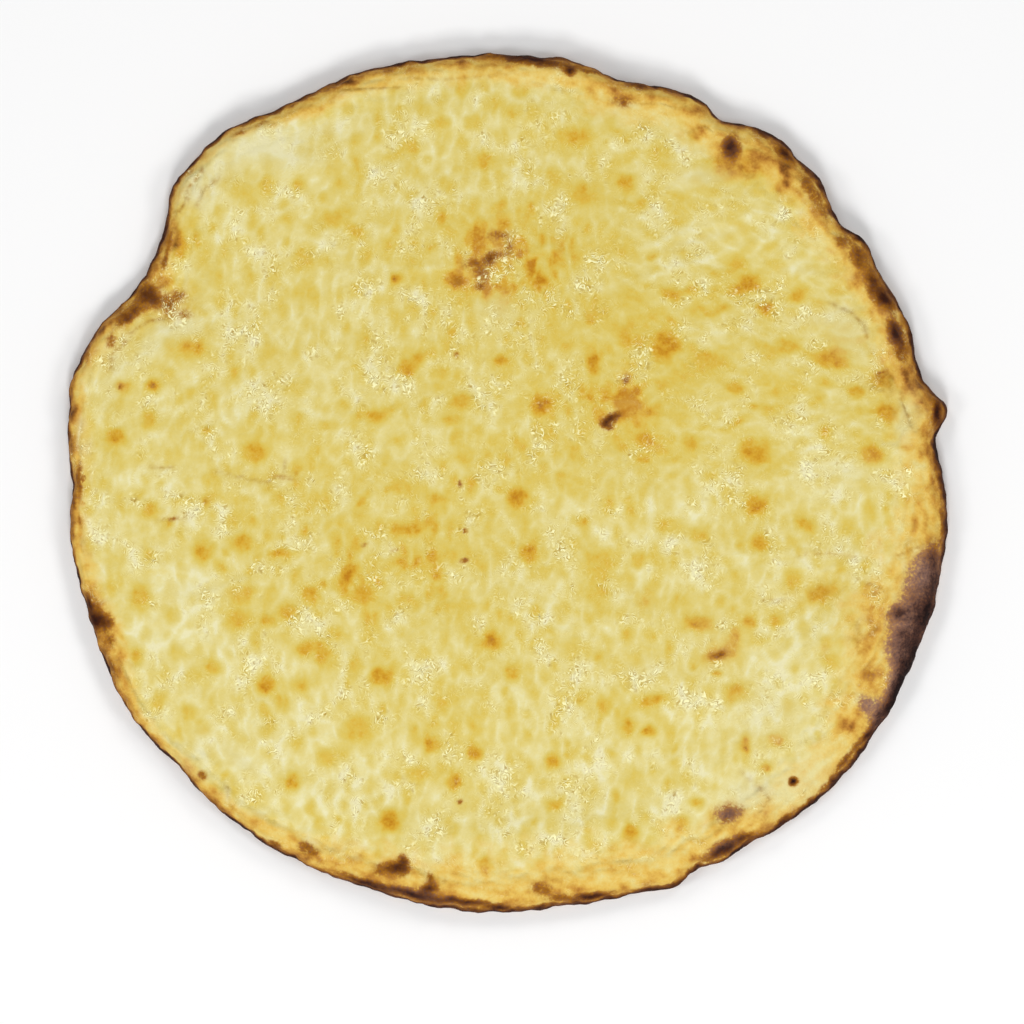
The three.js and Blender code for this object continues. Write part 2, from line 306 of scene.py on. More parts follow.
# %% Golden patches
GOLDEN_PATCHES = [
    (242, 191, 20, 20, 0.4), (268, 185, 17, 27, 0.55), (299, 188, 16, 16, 0.5), (303, 153, 16, 14, 0.4),
    (333, 160, 18, 38, 0.55), (347, 110, 16, 16, 0.5), (290, 217, 14, 12, 0.45),
    (338, 218, 44, 20, 0.6, 25), (356, 232, 30, 14, 0.6, -30), (303, 258, 28, 32, 0.6),
    (241, 242, 24, 16, 0.4), (250, 279, 16, 14, 0.45), (494, 104, 24, 20, 0.55), (514, 112, 22, 16, 0.55),
    (521, 93, 20, 12, 0.5), (473, 123, 20, 18, 0.6), (443, 123, 18, 14, 0.55), (411, 147, 26, 22, 0.55),
    (395, 156, 18, 16, 0.5), (486, 161, 28, 20, 0.6, 20), (446, 184, 18, 18, 0.55), (551, 147, 16, 16, 0.5),
    (531, 134, 16, 12, 0.45), (555, 179, 14, 28, 0.55), (661, 155, 26, 46, 0.5),
    (613, 170, 16, 34, 0.45, -30), (789, 227, 26, 22, 0.45), (776, 265, 26, 14, 0.45),
    (296, 389, 22, 20, 0.5), (283, 313, 16, 26, 0.4), (296, 420, 12, 30, 0.4), (510, 289, 22, 16, 0.55),
    (538, 284, 26, 16, 0.55), (328, 425, 22, 14, 0.5), (519, 444, 16, 16, 0.55), (504, 460, 13, 22, 0.55),
    (536, 426, 14, 12, 0.45), (479, 431, 16, 12, 0.5), (396, 442, 16, 12, 0.5), (364, 342, 20, 26, 0.4),
    (710, 366, 60, 30, 0.45, 10), (788, 346, 26, 16, 0.5), (656, 410, 16, 16, 0.45),
    (598, 313, 26, 34, 0.55), (627, 300, 40, 26, 0.35), (640, 340, 16, 16, 0.4), (710, 476, 18, 16, 0.5),
    (582, 521, 18, 15, 0.62), (667, 526, 32, 18, 0.7, -10), (697, 534, 24, 14, 0.65, -25),
    (638, 559, 20, 17, 0.65), (652, 587, 46, 14, 0.6, 65), (600, 563, 40, 30, 0.62),
    (597, 590, 24, 42, 0.6), (571, 545, 26, 18, 0.5), (793, 581, 20, 26, 0.55), (616, 664, 16, 20, 0.45),
    (573, 648, 30, 30, 0.45), (148, 556, 20, 17, 0.5), (512, 709, 11, 24, 0.5),
    (556, 717, 11, 44, 0.65, -20), (582, 699, 16, 20, 0.55), (603, 704, 16, 22, 0.55),
    (631, 779, 30, 24, 0.4), (587, 792, 18, 30, 0.45), (542, 863, 18, 12, 0.5), (631, 871, 26, 16, 0.5),
    (700, 712, 20, 14, 0.35), (575, 590, 22, 24, 0.35), (560, 330, 50, 60, 0.25), (690, 380, 60, 70, 0.2),
    (620, 250, 40, 40, 0.3), (770, 350, 60, 20, 0.35), (560, 480, 26, 20, 0.35), (470, 560, 60, 30, 0.2),
    (420, 640, 60, 40, 0.15), (316, 500, 40, 20, 0.45), (300, 510, 30, 14, 0.4), (170, 455, 26, 20, 0.3),
    (240, 500, 26, 14, 0.4),
]
print(len(GOLDEN_PATCHES), "golden patches")

# %% [markdown]
# Oily patches are where the fat has come out of the cheese and lies on fine wrinkles. They sparkle with
# glints painted into the colour, a painted highlight on each crest and painted shade beside it, and a clear
# coat shines over them.
# Pale patches are thick cheese or bare dough that the heat hardly reached.

# %% Oily and pale patches
FAT_AND_PAINTED_GLINT_PATCHES = [
    (267, 402, 34, 32, 1.0), (213, 370, 26, 26, 0.7), (229, 302, 20, 30, 0.8), (251, 332, 14, 40, 0.8),
    (140, 362, 20, 30, 0.6), (446, 314, 20, 34, 0.9), (425, 315, 12, 40, 0.8), (380, 345, 26, 44, 0.8),
    (455, 345, 12, 30, 0.8), (512, 250, 22, 40, 0.9), (465, 286, 30, 14, 0.8), (520, 330, 50, 60, 0.45),
    (497, 385, 36, 20, 0.85), (359, 402, 16, 18, 0.8), (422, 440, 20, 26, 0.7), (425, 474, 40, 16, 1.0),
    (498, 471, 26, 18, 0.8), (640, 351, 20, 26, 0.9), (681, 330, 30, 20, 0.6), (683, 260, 60, 12, 0.7, 20),
    (740, 322, 60, 14, 0.7, 20), (570, 378, 26, 40, 0.6), (598, 265, 14, 24, 0.9), (791, 425, 40, 30, 0.6),
    (581, 423, 30, 30, 0.5), (232, 486, 16, 16, 0.5), (296, 503, 30, 16, 0.6), (100, 535, 18, 22, 0.8),
    (223, 534, 20, 10, 0.5), (340, 490, 16, 30, 1.0), (320, 508, 24, 12, 0.6), (373, 580, 18, 24, 1.0),
    (343, 604, 22, 14, 0.9), (428, 549, 12, 20, 0.7), (608, 586, 20, 24, 0.9), (571, 589, 14, 24, 0.7),
    (761, 632, 14, 22, 0.9), (727, 492, 26, 40, 0.8), (843, 456, 30, 26, 0.5), (838, 496, 30, 16, 0.7),
    (778, 564, 20, 10, 0.7), (570, 700, 30, 40, 0.6), (575, 790, 40, 70, 0.5), (448, 750, 14, 26, 0.9),
    (466, 756, 16, 16, 0.9), (425, 678, 12, 12, 1.0), (402, 681, 24, 12, 0.6), (270, 205, 14, 30, 0.7),
    (363, 245, 10, 24, 0.8), (433, 205, 30, 30, 0.6), (412, 250, 30, 16, 0.5), (416, 130, 34, 26, 0.7),
    (640, 365, 20, 40, 0.8), (625, 380, 16, 16, 1.0), (742, 292, 34, 14, 0.9), (520, 172, 20, 40, 0.5),
    (560, 120, 30, 20, 0.5), (640, 140, 30, 30, 0.4), (650, 180, 16, 34, 0.6), (720, 210, 60, 12, 0.4, 20),
    (300, 620, 20, 40, 0.4), (330, 640, 16, 20, 0.6), (365, 640, 14, 30, 0.6), (530, 620, 16, 40, 0.5),
    (520, 560, 30, 30, 0.4), (700, 570, 40, 20, 0.4), (760, 700, 40, 40, 0.5), (690, 700, 40, 20, 0.5),
    (500, 800, 40, 60, 0.4), (390, 790, 20, 20, 0.5), (560, 700, 20, 30, 0.6), (175, 305, 26, 26, 0.6),
    (820, 450, 20, 20, 0.8), (826, 448, 14, 14, 0.9), (340, 560, 20, 20, 0.5),
]
PALE_PATCHES = [
    (262, 145, 80, 26, 0.72, 8), (300, 160, 60, 20, 0.5), (225, 165, 50, 22, 0.6, 30),
    (196, 190, 22, 30, 0.8, 30), (748, 792, 44, 30, 0.95, 20), (700, 178, 60, 18, 0.6),
    (892, 311, 14, 14, 0.6), (845, 330, 60, 40, 0.55, -50), (905, 420, 18, 44, 0.6, -15),
    (180, 330, 50, 18, 0.5), (150, 350, 40, 24, 0.4), (640, 600, 40, 30, 0.15), (648, 670, 50, 24, 0.2),
    (820, 320, 60, 14, 0.4), (497, 310, 36, 30, 0.5), (845, 470, 60, 30, 0.35), (110, 380, 30, 50, 0.3),
    (330, 130, 50, 14, 0.3), (240, 760, 60, 16, 0.6, -40), (200, 750, 30, 40, 0.5, -45),
    (770, 720, 70, 60, 0.4), (720, 640, 60, 60, 0.2), (200, 590, 60, 20, 0.4), (800, 785, 70, 40, 0.5, 40),
    (650, 510, 8, 30, 0.4), (800, 270, 40, 10, 0.4), (700, 240, 80, 10, 0.4, 15), (560, 230, 16, 50, 0.1),
]
print(len(FAT_AND_PAINTED_GLINT_PATCHES), "oily patches and", len(PALE_PATCHES), "pale ones")

# %% [markdown]
# Burns are where the flame or the stone caught the dough: the long charred stretch at the lower right,
# the dark spots along the top and the right, and a few burst blisters in the middle. Ash bloom is the
# mauve film that lies on char.

# %% Burns
BURNS = [
    # along the top edge
    (505, 56, 60, 8, 0.55, -3), (535, 61, 60, 11, 0.7, -8), (569, 72, 12, 9, 0.75),
    (605, 74, 70, 6, 0.45, -12), (623, 101, 26, 18, 0.3), (640, 86, 30, 8, 0.6, -10),
    (731, 148, 16, 23, 0.88), (762, 131, 34, 10, 0.7, -25), (785, 153, 24, 13, 0.75, -45),
    (806, 184, 16, 30, 0.3, 30), (818, 198, 16, 22, 0.3, 30), (824, 214, 12, 18, 0.25, 20),
    # right side
    (842, 240, 18, 16, 0.35), (858, 256, 24, 18, 0.5, -45), (872, 281, 18, 30, 0.55, 35),
    (884, 299, 17, 26, 0.82, 40), (895, 334, 15, 26, 0.9, 15), (902, 352, 16, 26, 0.4),
    (937, 414, 12, 34, 0.85, 5), (930, 380, 10, 40, 0.5, 25), (943, 480, 7, 60, 0.4),
    (944, 525, 9, 36, 0.5),
    # the charred stretch at the lower right
    (929, 558, 18, 22, 0.45), (922, 580, 28, 40, 0.48, 15), (916, 610, 26, 46, 0.62, 15),
    (899, 613, 22, 14, 0.7), (906, 640, 36, 44, 0.7, 10), (903, 666, 22, 40, 0.7, 5),
    (897, 690, 20, 36, 0.75, -25), (882, 715, 16, 32, 0.8, -38), (868, 735, 9, 22, 0.7, -38),
    (866, 704, 22, 20, 0.4), (869, 673, 18, 20, 0.26), (936, 580, 14, 60, 0.85, 5),
    (926, 610, 14, 50, 0.9, -15), (916, 645, 14, 50, 0.92, -15), (905, 678, 14, 40, 0.92, -25),
    (890, 708, 12, 36, 0.9, -35),
    # bottom
    (722, 849, 44, 14, 0.8, 32), (745, 838, 20, 8, 0.6, 25), (728, 813, 30, 20, 0.5, 15),
    (592, 896, 40, 8, 0.82, 8), (541, 888, 26, 16, 0.36), (560, 897, 26, 8, 0.35),
    (845, 760, 8, 40, 0.5, -40), (800, 812, 40, 6, 0.5, 35),
    # bottom left
    (398, 868, 22, 14, 0.7), (403, 860, 10, 14, 0.5), (380, 869, 20, 12, 0.35, 20), (429, 888, 18, 10, 0.7),
    (431, 878, 7, 16, 0.4), (365, 882, 60, 8, 0.7, -17), (412, 893, 60, 10, 0.8, -12),
    (462, 901, 60, 8, 0.7, -6), (498, 908, 30, 7, 0.7), (305, 847, 16, 14, 0.4), (315, 852, 14, 9, 0.35),
    (275, 845, 16, 8, 0.5, -30),
    # left side
    (97, 620, 18, 22, 0.88, 10), (90, 604, 9, 22, 0.7, 15), (108, 622, 14, 12, 0.5),
    (110, 641, 16, 18, 0.28), (113, 668, 9, 30, 0.35, 20), (203, 776, 11, 12, 0.4), (80, 479, 7, 40, 0.4),
    (74, 500, 6, 20, 0.5),
    # the notch on the left
    (147, 294, 22, 22, 0.62), (160, 301, 30, 14, 0.4), (180, 296, 18, 12, 0.3, -20),
    (170, 312, 12, 18, 0.25), (186, 314, 16, 12, 0.28), (133, 312, 26, 14, 0.5, 35),
    (123, 320, 16, 14, 0.4), (112, 340, 12, 18, 0.35, -20),
    # upper left rim
    (239, 134, 24, 6, 0.25, 20), (262, 124, 18, 6, 0.25, 20), (192, 170, 6, 24, 0.2, -30),
    (170, 240, 8, 30, 0.35, -15), (165, 262, 8, 20, 0.35, -20),
    # burst blisters in the middle
    (499, 236, 30, 16, 0.26), (510, 247, 12, 14, 0.2), (491, 258, 11, 11, 0.55),
    (474, 265, 30, 14, 0.32, -10), (482, 277, 18, 14, 0.26), (481, 287, 13, 10, 0.34),
    (503, 256, 26, 16, 0.2), (457, 283, 14, 10, 0.16), (605, 423, 12, 10, 0.72), (611, 418, 9, 9, 0.66),
    (617, 415, 9, 8, 0.5), (618, 409, 6, 5, 0.25), (611, 428, 6, 5, 0.3), (625, 379, 12, 12, 0.3),
    (719, 655, 20, 7, 0.4, 15), (457, 356, 7, 8, 0.3), (492, 640, 7, 8, 0.2), (395, 280, 6, 6, 0.25),
    (541, 405, 8, 7, 0.25), (881, 372, 14, 5, 0.3, 20), (121, 388, 6, 6, 0.35), (153, 386, 7, 6, 0.3),
    (285, 478, 34, 6, 0.2, -10), (173, 519, 12, 6, 0.25), (460, 484, 5, 8, 0.35), (464, 530, 6, 6, 0.4),
    (464, 561, 8, 6, 0.35), (364, 544, 12, 5, 0.25), (394, 550, 9, 6, 0.25), (460, 801, 6, 6, 0.35),
    (454, 783, 7, 7, 0.25), (793, 781, 9, 8, 0.95), (745, 747, 6, 9, 0.25), (697, 624, 12, 6, 0.2),
]
ASH = [
    (922, 575, 44, 50, 0.9), (910, 618, 50, 50, 0.75), (900, 650, 40, 50, 0.75), (895, 685, 32, 44, 0.7),
    (868, 704, 26, 22, 0.85), (878, 718, 20, 24, 0.6), (728, 813, 26, 16, 0.6), (722, 846, 30, 10, 0.4, 30),
    (731, 148, 14, 20, 0.25), (895, 334, 12, 20, 0.25), (420, 893, 70, 9, 0.3, -12),
]
print(len(BURNS), "burns")

# %% [markdown]
# Where no flame reached, the crust is still toasted unevenly: tan and orange-brown stretches along the
# right side and round the notches, and wide brown halos round the burst blisters in the middle.

# %% Toasted stretches
TOASTED = [
    (785, 178, 22, 40, 0.3), (905, 400, 50, 90, 0.3, 10), (870, 600, 50, 40, 0.3), (500, 62, 110, 12, 0.25),
    (620, 92, 70, 18, 0.3, -15), (680, 100, 50, 18, 0.3, -35), (790, 165, 50, 24, 0.35, -50),
    (812, 205, 30, 50, 0.45, 20), (850, 262, 34, 60, 0.5, 30), (880, 300, 30, 60, 0.5, 25),
    (900, 350, 30, 60, 0.45, 15), (918, 385, 26, 60, 0.5, 30), (925, 420, 30, 60, 0.4, 5),
    (935, 470, 22, 80, 0.3), (925, 520, 50, 50, 0.3), (880, 380, 30, 26, 0.25), (870, 630, 36, 60, 0.5),
    (868, 672, 30, 30, 0.55), (850, 720, 30, 40, 0.3, -35), (820, 590, 60, 30, 0.25, 15),
    (880, 690, 20, 40, 0.3, -25), (730, 825, 60, 30, 0.35, 30), (640, 882, 120, 14, 0.2, 8),
    (545, 888, 50, 26, 0.4), (430, 886, 90, 26, 0.3, -12), (392, 868, 50, 24, 0.4),
    (320, 858, 60, 12, 0.2, -30), (250, 820, 60, 12, 0.2, -40), (160, 750, 16, 60, 0.15, 40),
    (115, 670, 16, 70, 0.35, 25), (104, 625, 24, 60, 0.5, 10), (85, 540, 18, 90, 0.3, 8),
    (83, 450, 20, 110, 0.4), (100, 350, 26, 60, 0.4, -30), (125, 318, 40, 24, 0.5, 35),
    (164, 302, 54, 40, 0.5), (150, 275, 24, 50, 0.5, -30), (490, 246, 64, 50, 0.36, 45),
    (472, 272, 40, 26, 0.3), (458, 283, 22, 14, 0.5), (634, 410, 30, 26, 0.4), (612, 416, 34, 20, 0.4, 28),
    (625, 378, 20, 20, 0.35), (722, 652, 36, 24, 0.4, 15), (175, 235, 18, 60, 0.3, -20),
    (240, 130, 60, 16, 0.25, 25), (320, 95, 60, 12, 0.3, 22), (400, 70, 90, 12, 0.3, 8),
]
HALOS = [
    (484, 252, 84, 78, 0.36, 40), (462, 284, 40, 26, 0.3), (520, 258, 40, 30, 0.4),
    (622, 404, 60, 50, 0.42), (636, 412, 26, 24, 0.4), (626, 376, 30, 26, 0.35), (180, 300, 50, 40, 0.35),
    (724, 650, 50, 40, 0.35), (664, 344, 46, 46, 0.3), (756, 450, 56, 50, 0.3), (756, 508, 46, 60, 0.25),
    (290, 478, 90, 36, 0.3), (175, 510, 70, 40, 0.25), (350, 580, 60, 60, 0.2),
    (740, 288, 70, 34, 0.3, -10), (882, 416, 40, 40, 0.35), (873, 456, 46, 40, 0.3),
    (832, 360, 40, 30, 0.25),
]
print(len(TOASTED), "toasted stretches and", len(HALOS), "halos")

# %% [markdown]
# Folds, cracks and the lines where the cheese laps over the dough are grooves. Each has its width in
# millimetres, its strength and the points that it passes.
# Along the folds the colour is darkened too: partly a toasted crease, partly painted shade in and beside the
# groove.

# %% Folds and strands
FOLDS = [
    (0.55, 1.0, [(171, 215), (180, 212), (187, 201), (189, 188), (199, 177), (204, 168)]),
    (0.9, 0.5, [(198, 206), (203, 191), (211, 185), (220, 179)]),
    (0.6, 0.8, [(165, 318), (151, 321), (141, 326), (130, 335), (121, 348), (113, 354), (111, 370)]),
    (0.6, 0.5, [(340, 91), (373, 89), (400, 88)]),
    (0.7, 0.35, [(400, 78), (440, 80), (480, 78), (512, 73)]),
    (0.6, 0.6, [(830, 303), (851, 313), (863, 326), (866, 338)]),
    (0.6, 0.5, [(870, 384), (878, 391), (889, 388)]),
    (0.8, 0.6, [(900, 394), (904, 410), (912, 428), (926, 439)]),
    (0.7, 0.8, [(897, 555), (912, 549), (924, 545), (946, 536)]),
    (0.5, 0.5, [(797, 555), (830, 553), (863, 558)]),
    (0.5, 0.7, [(868, 584), (876, 585), (883, 592)]),
    (0.4, 0.6, [(764, 600), (783, 600)]),
    (0.4, 0.6, [(149, 467), (172, 468)]),
    (0.45, 0.7, [(160, 519), (173, 519), (191, 516), (207, 500)]),
    (0.5, 0.6, [(218, 471), (235, 476), (269, 483), (280, 476), (296, 475)]),
    (0.4, 0.5, [(286, 460), (283, 473)]),
    (0.5, 0.8, [(755, 784), (762, 790), (769, 799), (760, 811)]),
    (0.4, 0.5, [(740, 770), (748, 778), (755, 784)]),
    (0.6, 0.6, [(228, 788), (229, 797), (232, 808)]),
    (0.7, 0.5, [(856, 620), (858, 652)]),
    (0.5, 0.9, [(430, 886), (426, 868)]),
    (0.5, 0.8, [(430, 886), (418, 893)]),
    (0.5, 0.8, [(430, 886), (446, 880)]),
    (0.6, 0.5, [(690, 134), (697, 128), (706, 128), (714, 134)]),
    (0.5, 0.5, [(822, 205), (827, 222)]),
    (0.5, 0.4, [(625, 100), (640, 104), (660, 104), (676, 108)]),
    (0.5, 0.5, [(636, 104), (638, 96)]),
]
STRANDS = [
    (1.0, 0.6, [(408, 270), (430, 268), (456, 268)]),
    (1.4, 0.7, [(520, 262), (540, 250), (556, 249), (566, 260), (575, 280)]),
    (1.0, 0.8, [(203, 596), (215, 590), (229, 585), (245, 581)]),
    (1.2, 0.6, [(600, 290), (614, 262), (620, 240)]),
    (1.2, 0.6, [(650, 488), (651, 530)]),
    (1.4, 0.5, [(660, 540), (700, 545), (740, 556), (790, 553)]),
    (1.2, 0.5, [(775, 560), (820, 572), (860, 560)]),
    (1.4, 0.5, [(150, 565), (180, 570), (205, 578)]),
    (1.2, 0.5, [(380, 610), (400, 650), (410, 680)]),
    (1.2, 0.4, [(560, 262), (572, 300), (590, 340)]),
    (1.2, 0.5, [(640, 250), (700, 228), (760, 214)]),
    (1.2, 0.5, [(640, 280), (700, 262), (770, 238)]),
]
LAPS = [
    (1.2, 3.0, [(168, 218), (180, 212), (187, 201), (189, 188), (199, 177), (206, 166)]),
    (0.7, 3.0, [(200, 208), (203, 191), (211, 185), (222, 178)]),
    (1.1, 3.0, [(109, 374), (113, 354), (121, 348), (130, 335), (141, 326), (151, 321), (167, 317)]),
    (0.6, 3.0, [(410, 87), (373, 89), (336, 92)]),
    (0.9, 3.5, [(868, 342), (863, 326), (851, 313), (828, 302)]),
    (0.8, 3.0, [(892, 388), (878, 391), (868, 380)]),
    (0.9, 3.0, [(928, 440), (912, 428), (904, 410), (899, 392)]),
    (1.0, 3.5, [(895, 556), (912, 549), (924, 545), (948, 535)]),
    (0.6, 2.5, [(795, 555), (830, 553), (865, 558)]),
    (0.8, 2.5, [(760, 813), (769, 799), (762, 790), (753, 783)]),
    (0.6, 2.5, [(233, 810), (229, 797), (227, 786)]),
    (0.6, 2.5, [(716, 136), (706, 128), (697, 128), (688, 136)]),
    (0.5, 2.5, [(678, 109), (660, 104), (640, 104), (622, 99)]),
    (0.5, 3.0, [(856, 655), (858, 640), (856, 618)]),
]
print(len(FOLDS), "folds,", len(LAPS), "laps and", len(STRANDS), "strands")

# %% [markdown]
# Between the listed marks the cheese is covered all over with weaker golden patches, where
# small bubbles browned. They are strewn by a seeded draw that keeps clear of the marks already there,
# upright ones on the left and slanting ones on the upper right, as the dough was pulled.

# %% Strewn golden patches
STREWN_REACH = 425  # pixels from the middle
STREWN_TRIES = 5000
STREWN_SIZES = (9, 21)  # pixels
STREWN_STRENGTHS = (0.2, 0.55)
STREWN_TURN = 22  # degrees, the spread of the patches' turns
SLANTED_CORNER = (620, 480)  # the pixel right of which, and above which, the dough was pulled aslant


def strew_patches(tries, seed):
    """Ovals in random places that no other mark takes up, as cover reads them."""
    draw = np.random.default_rng(seed)
    placed = BLISTERS + GOLDEN_PATCHES + PALE_PATCHES[:4]
    taken = [(mark[0], mark[1], (mark[2] + mark[3]) / 4) for mark in placed]
    strewn = []
    for _ in range(tries):
        across, down = PHOTO_MIDDLE + draw.uniform(-STREWN_REACH, STREWN_REACH, 2)
        size = draw.uniform(*STREWN_SIZES)
        strength = draw.uniform(*STREWN_STRENGTHS)
        turn = draw.normal(0, STREWN_TURN)
        others = np.array(taken)
        gaps = np.hypot(others[:, 0] - across, others[:, 1] - down) - others[:, 2] - size / 2
        if gaps.min() < 1 or np.hypot(across - PHOTO_MIDDLE[0], down - PHOTO_MIDDLE[1]) > STREWN_REACH:
            continue
        taken.append((across, down, size / 2))
        pulled_up = not (across > SLANTED_CORNER[0] and down < SLANTED_CORNER[1])
        width, height = (0.8 * size, 1.25 * size) if pulled_up else (1.4 * size, 0.75 * size)
        strewn.append((across, down, width, height, strength, turn if pulled_up else turn + 15))
    return strewn


STREWN_PATCHES = strew_patches(STREWN_TRIES, 7)
print(len(STREWN_PATCHES), "strewn patches")

# %% [markdown]
# ## The outline, read from the model
# The model's solids are rings of points, one at each spoke round the bread. Reading the farthest point
# at each spoke gives the outline and the cheese's edge, and the highest gives the rim. A smooth curve
# through those few spokes then gives as many as the fine mesh needs.

# %% The outline, read from the model
CAD_SPOKES = 144
RIM_SPOKES = 864


def node_points(name):
    """The points of one of the model's nodes, in mm, one row each."""
    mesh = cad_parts[name].data
    points = np.empty(len(mesh.vertices) * 3)
    mesh.vertices.foreach_get("co", points)
    return points.reshape(-1, 3) / MM


bread_points = node_points("bread")
cheese_points = node_points("cheese")
floor_points = bread_points[bread_points[:, 2] < 0.01]
hub = floor_points[np.argmin(np.hypot(floor_points[:, 0], floor_points[:, 1]))][:2]


def spoke_values(points, values):
    """The largest value at each of the model's spokes."""
    angle = np.degrees(np.arctan2(points[:, 1] - hub[1], points[:, 0] - hub[0]))
    spoke = np.round(angle * CAD_SPOKES / 360).astype(int) % CAD_SPOKES
    largest = np.zeros(CAD_SPOKES)
    np.maximum.at(largest, spoke, values)
    return largest


def smooth_ring(values, count):
    """A closed smooth curve through the values, read at count even steps."""
    return np.fft.irfft(np.fft.rfft(values), count) * count / len(values)


def radius_from_hub(points):
    return np.hypot(points[:, 0] - hub[0], points[:, 1] - hub[1])


outline = smooth_ring(spoke_values(bread_points, radius_from_hub(bread_points)), RIM_SPOKES)
cheese_edge = smooth_ring(spoke_values(cheese_points, radius_from_hub(cheese_points)), RIM_SPOKES)
crown = smooth_ring(spoke_values(bread_points, bread_points[:, 2]), RIM_SPOKES)
print("outline", outline.min().round(1), "to", outline.max().round(1), "mm from the hub")
print("rim", crown.min().round(1), "to", crown.max().round(1), "mm high")

# %% [markdown]
# ## The bread: a section spun round
# Cut through the rim, the bread shows a flat underside, a foot that tucks in, a rounded wall, the
# crown and a slope down to where the cheese lies. The section is drawn once as a chain of edges, by
# extruding a single point, and spun round the middle. Spinning slows down with every step, so only a
# sixteenth of the round is spun, and it is then copied and turned four times, twice as much each time.
# That gives a perfectly round loaf, which is stretched afterwards, spoke by spoke, to the real outline.

# %% The section
ROUND_RADIUS = 138.0  # mm, the spun loaf before it is stretched
ROUND_CHEESE = 126.0
ROUND_HEIGHT = 12.0
DOUGH_HEIGHT = 7.2  # mm, the dough's usual height under the cheese
FOOT_TUCK = 2.2  # mm
WIDEST_HEIGHT = 2.4
CROWN_PLACE = 0.6  # the crown's place, as a share of the crust's width
CROWN_DROP = 0.9  # mm, from the crown down to the cheese's edge
UNDER_RINGS = 14
FOOT_RINGS = 5
WALL_RINGS = 26
SLOPE_RINGS = 22
HIDDEN_SHARES = [0.985, 0.965, 0.94, 0.91, 0.88, 0.85, 0.75, 0.6, 0.4, 0.2]  # of the cheese's radius
SINK_SHARE = 0.14  # of that radius, in which the hidden dough eases down to the model's


def section(edge, cheese, top, dough_height):
    """The points of the section from the underside's middle to the top's, as (radius, height) pairs.
    It takes numbers for one section, or arrays for one at each spoke."""
    crown_in = CROWN_PLACE * (edge - cheese)
    points = [(edge * 0, edge * 0)]
    for step in range(1, UNDER_RINGS + 1):
        points.append(((edge - FOOT_TUCK) * (step / UNDER_RINGS) ** 0.8, edge * 0))
    for step in range(1, FOOT_RINGS + 1):
        turn = (1 - step / FOOT_RINGS) * np.pi / 2
        points.append((edge - FOOT_TUCK * (1 - np.cos(turn)), edge * 0 + WIDEST_HEIGHT * (1 - np.sin(turn))))
    for step in range(1, WALL_RINGS + 1):
        turn = (step / WALL_RINGS) * np.pi / 2
        height = WIDEST_HEIGHT + (top - WIDEST_HEIGHT) * np.sin(turn)
        points.append((edge - crown_in * (1 - np.cos(turn)), height))
    for step in range(1, SLOPE_RINGS + 1):
        share = step / SLOPE_RINGS
        radius = edge - crown_in + (cheese - edge + crown_in) * share
        points.append((radius, top - CROWN_DROP * smooth_step(share, 0, 1)))
    for share in HIDDEN_SHARES:
        sunk = smooth_step(1 - share, 0, SINK_SHARE)
        height = blend(top - CROWN_DROP, dough_height(cheese * share), sunk)
        points.append((cheese * share, height))
    points.append((edge * 0, dough_height(edge * 0)))
    return points


plain_section = section(ROUND_RADIUS, ROUND_CHEESE, ROUND_HEIGHT, lambda radius: DOUGH_HEIGHT)
print(len(plain_section), "points in the section")

# %% Spinning the section
ROUND_PARTS = (16, 8, 4, 2)  # the round is spun as a sixteenth, then an eighth is made of it, and so on

bpy.ops.object.select_all(action="DESELECT")
bpy.ops.mesh.primitive_plane_add(size=0.01, location=(0, 0, 0))
bread = bpy.context.object
bread.name = "baked_flatbread"
bpy.ops.object.mode_set(mode="EDIT")
bpy.ops.mesh.select_all(action="SELECT")
bpy.ops.mesh.merge(type="CENTER")
for (r0, z0), (r1, z1) in zip(plain_section, plain_section[1:]):
    step = ((r1 - r0) * MM, 0, (z1 - z0) * MM)
    bpy.ops.mesh.extrude_region_move(TRANSFORM_OT_translate={"value": step})
bpy.ops.mesh.select_all(action="SELECT")
spun = {"steps": RIM_SPOKES // ROUND_PARTS[0], "angle": 2 * np.pi / ROUND_PARTS[0]}
bpy.ops.mesh.spin(center=(0, 0, 0), axis=(0, 0, 1), **spun)
for part in ROUND_PARTS:
    bpy.ops.mesh.select_all(action="SELECT")
    bpy.ops.mesh.duplicate()
    bpy.ops.transform.rotate(value=2 * np.pi / part, orient_axis="Z", center_override=(0, 0, 0))
bpy.ops.mesh.select_all(action="SELECT")
bpy.ops.mesh.remove_doubles(threshold=1e-6)
bpy.ops.mesh.normals_make_consistent(inside=False)
bpy.ops.object.mode_set(mode="OBJECT")
print("the round loaf has", len(bread.data.vertices), "points")

# %% [markdown]
# ## Stretching the round loaf
# Every point of the spun loaf knows its spoke and its place in the section, so it can move to the same
# place in the real section there. The outline gets small nicks and lumps of its own, a few millimetres
# long, as torn and toasted dough has.

# %% Stretching the round loaf
NICK_SIZES = [(9.0, 0.45), (4.0, 0.3), (2.0, 0.16)]  # length and depth, mm
AT_ONCE = 4096  # points whose place in the section is looked up together


def mesh_points(thing):
    """The points of a piece, in mm, one row each."""
    points = np.empty(len(thing.data.vertices) * 3)
    thing.data.vertices.foreach_get("co", points)
    return points.reshape(-1, 3) / MM


def move_points(thing, points):
    """Puts the points of a piece at new places, given in mm."""
    thing.data.vertices.foreach_set("co", (points * MM).ravel())
    thing.data.update()


def surface_of(thing, lowest_normal=0.3):
    """A tree of a mesh's upward faces, for dropping points onto."""
    mesh = thing.data
    faces = [face.vertices[:] for face in mesh.polygons if face.normal.z > lowest_normal]
    return BVHTree.FromPolygons([vertex.co for vertex in mesh.vertices], faces)


def drop(tree, x, y, missing):
    """The height in mm of the surface under each place, or the missing value."""
    down = Vector((0, 0, -1))
    heights = []
    for px, py in zip(x * MM, y * MM):
        hit = tree.ray_cast(Vector((px, py, 1.0)), down)[0]
        heights.append(missing if hit is None else hit.z / MM)
    return np.array(heights)


